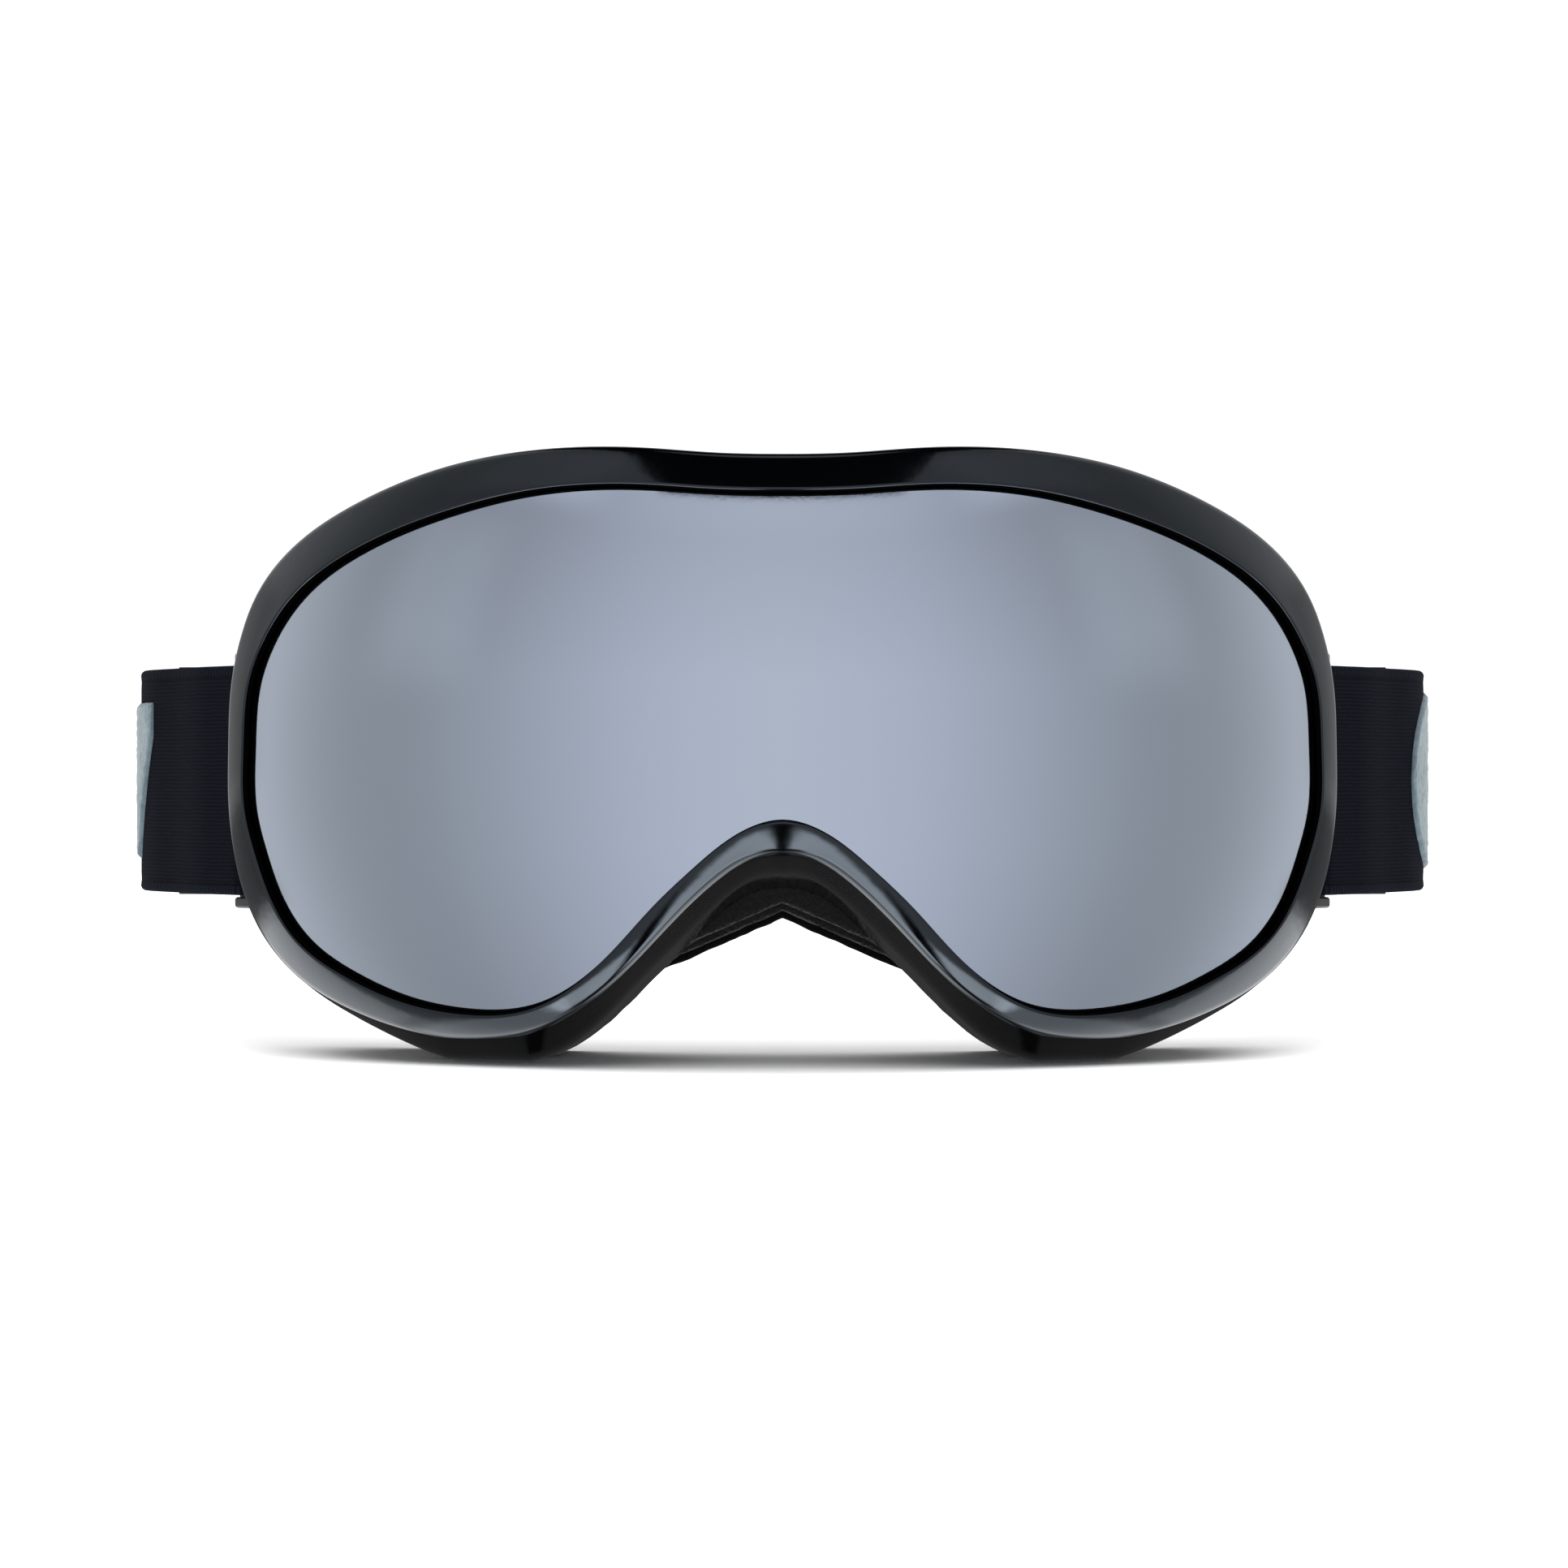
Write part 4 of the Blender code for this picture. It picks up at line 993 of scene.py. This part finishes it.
def make_pin(side, word):
    low, high = LUG_LEVELS[0][0] - 0.3, LUG_LEVELS[1][1] + GAP
    profile = [(0.5, low), (0.9, low + 0.15), (PIN_RADIUS, low + 0.5), (PIN_RADIUS, high)]
    profile += [(PIN_HEAD_RADIUS - 0.1, high), (PIN_HEAD_RADIUS, high + 0.1)]
    for k in range(7):
        turn = pi / 2 * k / 7
        profile.append((PIN_HEAD_RADIUS * cos(turn), high + 0.15 + (PIN_HEAD - 0.15) * sin(turn)))
    sections = [[(x, y, z) for x, y in pin_circle(side, radius)] for radius, z in profile]
    pin = add_piece(f"steel_pin_{word}", *loft(sections, closed=False), "steel", 35)
    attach(pin, "goggle")
    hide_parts(f"hinge_pin_{word}")


def plate_outline(side):
    spots = []
    for along, radius, start in ((0.0, BARREL_RADIUS, pi / 2), (ARM_REACH, BARREL_RADIUS - 0.3, -pi / 2)):
        for i in range(25):
            angle = start + pi * i / 24
            spots.append(arm_spot(side, along + radius * cos(angle), radius * sin(angle)))
    return spots


def make_arm(side, word):
    outline = plate_outline(side)
    plate = softened(outline, ARM_LOW, ARM_LOW + ARM_PLATE, 0.6)
    arm = add_piece(f"side_arm_{word}", *plate, "arm", triangles=True)
    combine(arm, softened(outline, ARM_HIGH - ARM_PLATE, ARM_HIGH, 0.6), "UNION")
    inside = (ARM_LOW + ARM_PLATE / 2, ARM_HIGH - ARM_PLATE / 2)
    barrel = prism(pin_circle(side, BARREL_RADIUS - 0.2), *inside)
    bar = prism(circle(arm_spot(side, ARM_REACH, 0), BAR_RADIUS, 30), *inside)
    combine(arm, merged(barrel, bar), "UNION")
    hole = prism(pin_circle(side, HOLE_RADIUS), ARM_LOW - 2, ARM_HIGH + 2)
    combine(arm, hole, "DIFFERENCE")
    keep_first_material(arm)
    smoothed(arm.data, CUT_SMOOTH)
    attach(arm, f"{word}_arm")
    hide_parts(f"strap_arm_{word}")


# ---- strap


def gone_along(x, y, heading, length, radius):
    """Where a straight run, or an arc when it has a radius, ends, and its heading there."""
    if not radius:
        return x + length * cos(heading), y + length * sin(heading), heading
    turned = heading + length / radius
    return x + radius * (sin(turned) - sin(heading)), y + radius * (cos(heading) - cos(turned)), turned


def strap_arcs():
    """The strap's half loop from the pin to the middle of the back, as straight runs and arcs."""
    pieces = []
    x, y = PIN_XY
    heading = STRAP_HEADING
    for length, radius, until in (
        (STRAP_LEG, 0, STRAP_HEADING),
        (0, STRAP_BEND_RADIUS, STRAP_SIDE_HEADING),
        (STRAP_SIDE, 0, STRAP_SIDE_HEADING),
        (0, STRAP_CORNER_RADIUS, STRAP_BACK_HEADING),
        (0, None, pi),
    ):
        if radius is None:
            radius = x / sin(heading)
        if radius:
            length = radius * (until - heading)
        pieces.append((x, y, heading, length, radius))
        x, y, heading = gone_along(*pieces[-1])
    return pieces


STRAP_ARCS = strap_arcs()
HALF_LOOP = sum(piece[3] for piece in STRAP_ARCS)


def strap_spot(s, offset):
    """Plan point at length s from the wearer's left pin, offset outwards; past the middle it mirrors."""
    side = 1
    if s > HALF_LOOP:
        side, s = -1, 2 * HALF_LOOP - s
    for x, y, heading, length, radius in STRAP_ARCS:
        if s <= length + 1e-9:
            break
        s -= length
    x, y, turned = gone_along(x, y, heading, s, radius)
    return side * (x + offset * sin(turned)), y - offset * cos(turned)


def side_spot(side, s, offset):
    x, y = strap_spot(s, offset)
    return side * x, y


def ease(share):
    share = min(max(share, 0.0), 1.0)
    return share * share * (3 - 2 * share)


LOOP_OFFSET = BAR_RADIUS + GAP + WEB_THICK / 2


def layers_met(s):
    """How far the two layers have come together: 0 by the arm's bar, 1 where they lie on each other."""
    near_end = min(s, 2 * HALF_LOOP - s)
    return ease((near_end - BAND_START) / (LAYERS_MEET - BAND_START))


def outer_offset(s):
    return LOOP_OFFSET * (1 - layers_met(s))


def inner_offset(s):
    return -LOOP_OFFSET + (RETURN_OFFSET + LOOP_OFFSET) * layers_met(s)


def span(start, end, step):
    count = max(1, round(abs(end - start) / step))
    return [start + (end - start) * i / count for i in range(count + 1)]


def turn_round(spot, reach, radius):
    """Plan points of half a turn about a bar, from its outer side to its inner side."""
    sides = 14
    found = []
    for i in range(1, sides):
        angle = pi / 2 + pi * i / sides
        found.append(spot(reach + radius * cos(angle), radius * sin(angle)))
    return found


def web_section():
    """Across and through: the webbing's rounded edges, with a bead along each selvedge."""
    count = 30
    half, thick = WEB_WIDE / 2, WEB_THICK / 2
    found = []
    for sign in (1, -1):
        for k in range(count + 1):
            across = sign * (half - thick) * (1 - 2 * k / count)
            from_edge = half - abs(across)
            bead = 0.07 * cos(min(1.0, abs(from_edge - 1.0) / 0.9) * pi / 2)
            seam = 0.05 * (abs(from_edge - 1.9) < 0.5)
            found.append((across, sign * (thick - 0.07 + bead - seam)))
        for k in range(1, 5):
            angle = pi * k / 5
            found.append((-sign * (half - thick + thick * sin(angle)), sign * (thick - 0.07) * cos(angle)))
    return found


def ribbon(path, start=0.0):
    """Webbing along plan points: points, faces, the webbing's own coordinates in millimetres, and length."""
    section = web_section()
    spots = np.array(path)
    along = np.gradient(spots, axis=0)
    along /= np.linalg.norm(along, axis=1)[:, None]
    side = np.stack([along[:, 1], -along[:, 0]], axis=1)
    run = start + np.concatenate([[0], np.cumsum(np.linalg.norm(np.diff(spots, axis=0), axis=1))])
    sections, uvs = [], []
    for spot, out, length in zip(spots, side, run):
        sections.append([(*(spot + out * through), MIDDLE_Z + across) for across, through in section])
        uvs += [(length, across + WEB_WIDE / 2) for across, _ in section]
    return *loft(sections, closed=False), uvs, run[-1] - run[0]


MIDDLE_Z = WEB_Z + WEB_WIDE / 2


def arm_loop_path(side):
    """From the back's middle along the outer layer, round the arm's bar and back along the inner layer."""
    path = [side_spot(side, s, outer_offset(s)) for s in span(HALF_LOOP, LAYERS_MEET, 1.5)[:-1]]
    path += [side_spot(side, s, outer_offset(s)) for s in span(LAYERS_MEET, ARM_REACH, 0.9)]
    path += turn_round(lambda along, offset: arm_spot(side, along, offset), ARM_REACH, LOOP_OFFSET)
    path += [side_spot(side, s, inner_offset(s)) for s in span(ARM_REACH, RETURN_SPLIT, 0.9)]
    return path


def tail_path(side):
    """From the doubled-back layer to the slider's bar, round it, and down on to itself."""
    radius = SLIDER_BAR_RADIUS + GAP + WEB_THICK / 2

    def about_bar(along, offset):
        return side_spot(side, SLIDER_AT - along, SLIDER_BAR_OFFSET + offset)

    outer, inner = SLIDER_BAR_OFFSET + radius, SLIDER_BAR_OFFSET - radius
    path = []
    for s in span(RETURN_SPLIT, SLIDER_AT, 1.0):
        share = ease((s - TAIL_RISE[0]) / TAIL_RISE[1])
        path.append(side_spot(side, s, RETURN_OFFSET + (outer - RETURN_OFFSET) * share))
    path += turn_round(about_bar, 0.0, radius)
    for s in span(SLIDER_AT, SLIDER_AT - TAIL, 0.7):
        share = ease((SLIDER_AT - s) / TAIL_FALL)
        path.append(side_spot(side, s, inner + (TAIL_LAP - inner) * share))
    return path


def stitch_solid(at, along, out):
    """One stitch of thread: a short bead that dips at its ends."""
    at, along, out = (np.array(v, float) for v in (at, along, out))
    across = np.cross(along, out)
    sections = []
    for k in range(5):
        t = k / 4 * 2 - 1
        wide = STITCH_RADIUS * (0.45 + 0.55 * (1 - t * t) ** 0.5)
        centre = at + along * (STITCH_LENGTH / 2 * t) - out * (STITCH_RADIUS * 0.9 * t * t)
        ring = [pi * 2 * i / 7 for i in range(7)]
        sections.append([centre + out * (wide * cos(a)) + across * (wide * sin(a)) for a in ring])
    return loft(sections, closed=False)


def tail_stitches(side, word):
    """The bar tack that holds the flap: a box with a cross in it, seen on the inner face."""
    low_s, high_s = SLIDER_AT - TAIL + 2.0, SLIDER_AT - 7.0
    half = WEB_WIDE / 2 - 3.5
    face = TAIL_LAP - WEB_THICK / 2
    corners = [(low_s, -half), (high_s, -half), (high_s, half), (low_s, half)]
    runs = [(corners[i], corners[(i + 1) % 4]) for i in range(4)]
    runs += [(corners[0], corners[2]), (corners[1], corners[3])]
    solids = []
    for (s0, z0), (s1, z1) in runs:
        count = round(hypot(s1 - s0, z1 - z0) / STITCH_PITCH)
        for i in range(count):
            t = (i + 0.5) / count
            s, z = s0 + (s1 - s0) * t, MIDDLE_Z + z0 + (z1 - z0) * t
            x, y = side_spot(side, s, face + 0.02)
            ahead, inner = side_spot(side, s + 1, face), side_spot(side, s, face - 1)
            down = np.array([ahead[0] - x, ahead[1] - y, 0.0])
            down = down / np.linalg.norm(down) * (s1 - s0) + np.array([0, 0, z1 - z0])
            out = np.array([inner[0] - x, inner[1] - y, 0.0])
            solids.append(stitch_solid((x, y, z), down / np.linalg.norm(down), out / np.linalg.norm(out)))
    thread = add_piece(f"tack_thread_{word}", *merged(*solids), "thread", 60)
    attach(thread, f"{word}_slider")
    return thread


def row_point(side, s, offset):
    return tuple(placed([(*side_spot(side, s, offset), MIDDLE_Z)])[0])


def make_print(side, word):
    """The raised flock stripe: one end is round, the other slants, and its pile stands up unevenly."""
    slanted_first = side < 0
    half = PRINT_HALF_HIGHS[side]

    def bounds(s):
        from_round = (PRINT_END - s) if slanted_first else (s - PRINT_START)
        share = min(max(from_round, 0.0) / half, 1.0)
        high = half * (1 - (1 - share) ** 2) ** 0.5 + 0.3
        from_slant = (s - PRINT_START) if slanted_first else (PRINT_END - s)
        low = -high + 2 * half * max(0.0, 1 - from_slant / PRINT_SLANT) * 0.8
        return low, high

    across = 44
    sections = []
    for s in span(PRINT_START, PRINT_END, 0.6):
        low, high = bounds(s)
        low += 0.3 * noise.noise(Vector((s * 0.9, side * 7.0, 1.0)))
        high += 0.3 * noise.noise(Vector((s * 0.9, side * 7.0, 5.0)))
        base = outer_offset(s) + WEB_THICK / 2
        ring = []
        for k in range(across + 1):
            t = k / across
            z = low + (high - low) * t
            edge = min(t, 1 - t) * (high - low)
            end = min(s - PRINT_START, PRINT_END - s)
            dome = min(1.0, (min(edge, end + 0.15) / 0.7)) ** 0.5
            tuft = 0.16 * noise.fractal(Vector((s * 0.8, z * 0.8, side * 3.0)), 0.8, 2.1, 3)
            ring.append((*side_spot(side, s, base + 0.05 + dome * (PRINT_THICK + 0.12 + tuft)), MIDDLE_Z + z))
        ring += [(*side_spot(side, s, base - 0.12), MIDDLE_Z + z) for z in (high, low)]
        sections.append(ring)
    patch = add_piece(f"flock_stripe_{word}", *loft(sections, closed=False), "flock", 60)
    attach(patch, "goggle")
    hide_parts(f"strap_print_{word}")
    return patch


def make_grip_lines():
    lines = []
    for name, lift in GRIP_OFFSETS.items():
        sections = []
        for s in span(GRIP_START, 2 * HALF_LOOP - GRIP_START, 1.5):
            ends = min(s - GRIP_START, 2 * HALF_LOOP - GRIP_START - s)
            half = GRIP_HALF_HIGH * (1 - (1 - min(1.0, (ends + 0.15) / GRIP_HALF_HIGH)) ** 2) ** 0.5
            ring = []
            for k in range(13):
                t = k / 12 * 2 - 1
                offset = -WEB_THICK / 2 + 0.08 - (GRIP_THICK + 0.08) * (1 - t**4)
                ring.append((*strap_spot(s, offset), MIDDLE_Z + lift + half * t))
            sections.append(ring)
        line = add_piece(f"silicone_{name}", *loft(sections, closed=False), "silicone", 60)
        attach(line, "goggle")
        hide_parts(name)
        lines.append(line)
    return lines


def make_slider(side, word):
    """A three-bar slider: two bars outside the band, one inside it, and a rail above and below."""

    def block(first, last, inner, outer, low, high):
        corners = [(first, inner), (last, inner), (last, outer), (first, outer)]
        return prism([side_spot(side, SLIDER_AT + along, offset) for along, offset in corners], low, high)

    half = SLIDER_LENGTH / 2
    back = SLIDER_BAR_OFFSET - SLIDER_BAR_RADIUS
    front = SLIDER_FRONT[1]
    window = (WEB_Z - SLIDER_CLEAR, WEB_Z + WEB_WIDE + SLIDER_CLEAR)
    rail = block(-half, half, back, front, window[0] - SLIDER_RAIL, window[0])
    slider = add_piece(f"ladder_slider_{word}", *rail, "slider", triangles=True)
    combine(slider, block(-half, half, back, front, window[1], window[1] + SLIDER_RAIL), "UNION")
    inside = (window[0] - SLIDER_RAIL / 2, window[1] + SLIDER_RAIL / 2)
    bars = merged(
        block(-half, -half + SLIDER_BAR_WIDE, *SLIDER_FRONT, *inside),
        block(half - SLIDER_BAR_WIDE, half, *SLIDER_FRONT, *inside),
        prism(circle(side_spot(side, SLIDER_AT, SLIDER_BAR_OFFSET), SLIDER_BAR_RADIUS, 28), *inside),
    )
    combine(slider, bars, "UNION")
    keep_first_material(slider)
    bevel(slider, 0.42)
    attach(slider, f"{word}_slider")
    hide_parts(f"slider_{word}")


def make_strap():
    grips = make_grip_lines()
    for side, word in SIDES:
        make_slider(side, word)
        stripe = make_print(side, word)
        points, faces, uvs, length = ribbon(arm_loop_path(side))
        band = add_piece(f"strap_{word}", points, faces, "web", 45, uvs)
        row_point(side, ARM_END_BENDS[0], 0.0)
        row_point(side, ARM_END_BENDS[1], 0.0)
        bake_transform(band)
        nodes = [f"strap_loop_{word}", f"strap_return_{word}"]
        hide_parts(*nodes, *(["strap_band"] if side > 0 else []))
        points, faces, uvs, length = ribbon(tail_path(side), TAIL_PATTERN_START)
        tail = add_piece(f"strap_tail_{word}", points, faces, "web", 45, uvs)
        row_point(side, TAIL_BENDS[0], RETURN_OFFSET)
        row_point(side, TAIL_BENDS[1], RETURN_OFFSET)
        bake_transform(tail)
        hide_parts(f"strap_end_{word}")
        tail_stitches(side, word)


# ---- studio


def make_floor():
    half = 9.0
    mesh = bpy.data.meshes.new("floor")
    mesh.from_pydata([(-half, -half, 0), (half, -half, 0), (half, half, 0), (-half, half, 0)], [], [(0, 1, 2, 3)])
    floor = bpy.data.objects.new("floor", mesh)
    look, tree, shader = new_look("pale_floor", Roughness=0.9, Specular_IOR_Level=0.1)
    feed(tree, shader, Base_Color=ramp(tree, object_noise(tree, 3, 2), ((0.3, 0.93), (0.7, 0.95))))
    mesh.materials.append(look)
    bpy.context.scene.collection.objects.link(floor)
    floor.location.z = -0.0002
    floor.visible_glossy = False


def make_world():
    """A white studio, dimmer to the sides, with a black card above and its own panels for the low bevels.

    A direction's turn is 0 ahead of the goggles and 1 behind them; its rise is the sine of its elevation.
    """
    world = bpy.data.worlds.new("studio")
    world.use_nodes = True
    bpy.context.scene.world = world
    tree = world.node_tree
    background = tree.nodes["Background"]
    way = add(tree, "ShaderNodeSeparateXYZ", Vector=add(tree, "ShaderNodeTexCoord").outputs["Generated"])
    rise = way.outputs["Z"]
    aside = maths(tree, "ABSOLUTE", way.outputs["X"])
    turn = maths(tree, "ARCTAN2", aside, maths(tree, "MULTIPLY", way.outputs["Y"], -1.0))
    turn = maths(tree, "DIVIDE", turn, pi)
    slanted = maths(tree, "MULTIPLY_ADD", rise, -0.18, turn)
    profile = ramp(
        tree,
        turn,
        (
            (0.0, 1.0),
            (0.09, 0.985),
            (0.2, 0.86),
            (0.34, 0.60),
            (0.43, 0.54),
            (0.52, 0.60),
            (0.62, 0.88),
            (0.72, 0.95),
            (1.0, 0.95),
        ),
        "B_SPLINE",
    )
    height = maths(tree, "MULTIPLY_ADD", rise, 0.5, 0.5)
    overhead = ramp(tree, height, ((0.0, 0.9), (0.35, 1.0), (0.6, 1.0), (0.8, 0.86), (0.9, 0.95), (1.0, 0.95)))
    light = maths(tree, "MULTIPLY", profile, overhead)
    # Each panel: what it is measured by and that one's low, high and soft; the rise's low, high and soft; and
    # what it multiplies the light by.
    panels = (
        (aside, -1.0, 0.34, 0.012, 0.71, 0.985, 0.008, 0.0),
        (turn, 0.34, 0.455, 0.04, 0.2, 0.6, 0.12, 1.22),
        (turn, 0.25, 0.45, 0.05, 0.66, 0.88, 0.04, 1.35),
        (turn, 0.63, 0.8, 0.03, -0.05, 0.3, 0.04, 0.66),
        (slanted, 0.66, 0.95, 0.012, -0.27, -0.07, 0.035, 0.32),
        (slanted, 0.67, 0.95, 0.012, -0.68, -0.27, 0.03, 2.7),
        (turn, 0.3, 0.8, 0.07, -1.3, -0.71, 0.04, 3.7),
        (turn, 0.06, 0.3, 0.025, -0.95, -0.77, 0.03, 6.9),
        (turn, -1.0, 0.036, 0.013, -1.3, -0.72, 0.04, 0.0),
        (turn, -1.0, 0.28, 0.03, -1.3, -0.955, 0.015, 0.12),
        (turn, 0.28, 0.8, 0.03, -1.3, -0.975, 0.015, 0.55),
        (turn, 0.86, 1.2, 0.03, -0.78, 0.04, 0.05, 0.05),
        (turn, 0.8, 1.2, 0.04, -1.0, -0.78, 0.05, 0.36),
        (turn, 0.977, 1.2, 0.008, -1.3, -0.62, 0.05, 0.15),
    )
    for place, first, last, soft, low, high, fade, share in panels:
        patch = maths(tree, "MULTIPLY", between(tree, place, first, last, soft), between(tree, rise, low, high, fade))
        light = maths(tree, "MULTIPLY", light, maths(tree, "MULTIPLY_ADD", patch, share - 1.0, 1.0))
    seen = add(tree, "ShaderNodeLightPath").outputs["Is Camera Ray"]
    unseen = maths(tree, "SUBTRACT", 1.0, seen)
    strength = maths(tree, "MULTIPLY_ADD", seen, 1.2, maths(tree, "MULTIPLY", light, unseen))
    tree.links.new(strength, background.inputs["Strength"])
    background.inputs["Color"].default_value = (1, 1, 1, 1)


def make_sun(name, towards, strength, spread):
    """A wide soft light from one direction."""
    lamp = bpy.data.lights.new(name, "SUN")
    lamp.energy = strength
    lamp.angle = radians(spread)
    made = bpy.data.objects.new(name, lamp)
    made.rotation_mode = "QUATERNION"
    made.rotation_quaternion = Vector(towards).to_track_quat("Z", "Y")
    made.visible_glossy = False
    bpy.context.scene.collection.objects.link(made)
    return made


CAMERA_BACK = 700.0
CAMERA_HEIGHT = 44.0
CAMERA_LENS = 106.2


def make_floor_wash():
    """A soft lamp from ahead that lights the floor alone, which is overexposed in front of the goggles."""
    lamp = make_sun("floor_wash", (0, -0.6, 1), 3.2, 60)
    lit = bpy.data.collections.new("floor_only")
    lit.objects.link(bpy.data.objects["floor"])
    lamp.light_linking.receiver_collection = lit


def make_camera():
    camera = bpy.data.cameras.new("camera")
    camera.lens = CAMERA_LENS
    camera.sensor_width = 36
    camera.clip_start = 0.05
    made = bpy.data.objects.new("camera", camera)
    made.location = placed([(0, -CAMERA_BACK, CAMERA_HEIGHT)])[0]
    made.rotation_euler = (pi / 2, 0, 0)
    camera.shift_x = 0.001
    bpy.context.scene.collection.objects.link(made)
    bpy.context.scene.camera = made


def main():
    make_camera()
    make_floor()
    make_world()
    make_sun("overhead", (0, 0.35, 1), 1.7, 70)
    make_floor_wash()
    make_frame()
    make_lenses()
    make_face_foams()
    make_vent_foams()
    for side, word in SIDES:
        make_pin(side, word)
        make_arm(side, word)
    make_strap()
    bpy.context.scene.view_settings.view_transform = "Standard"


main()
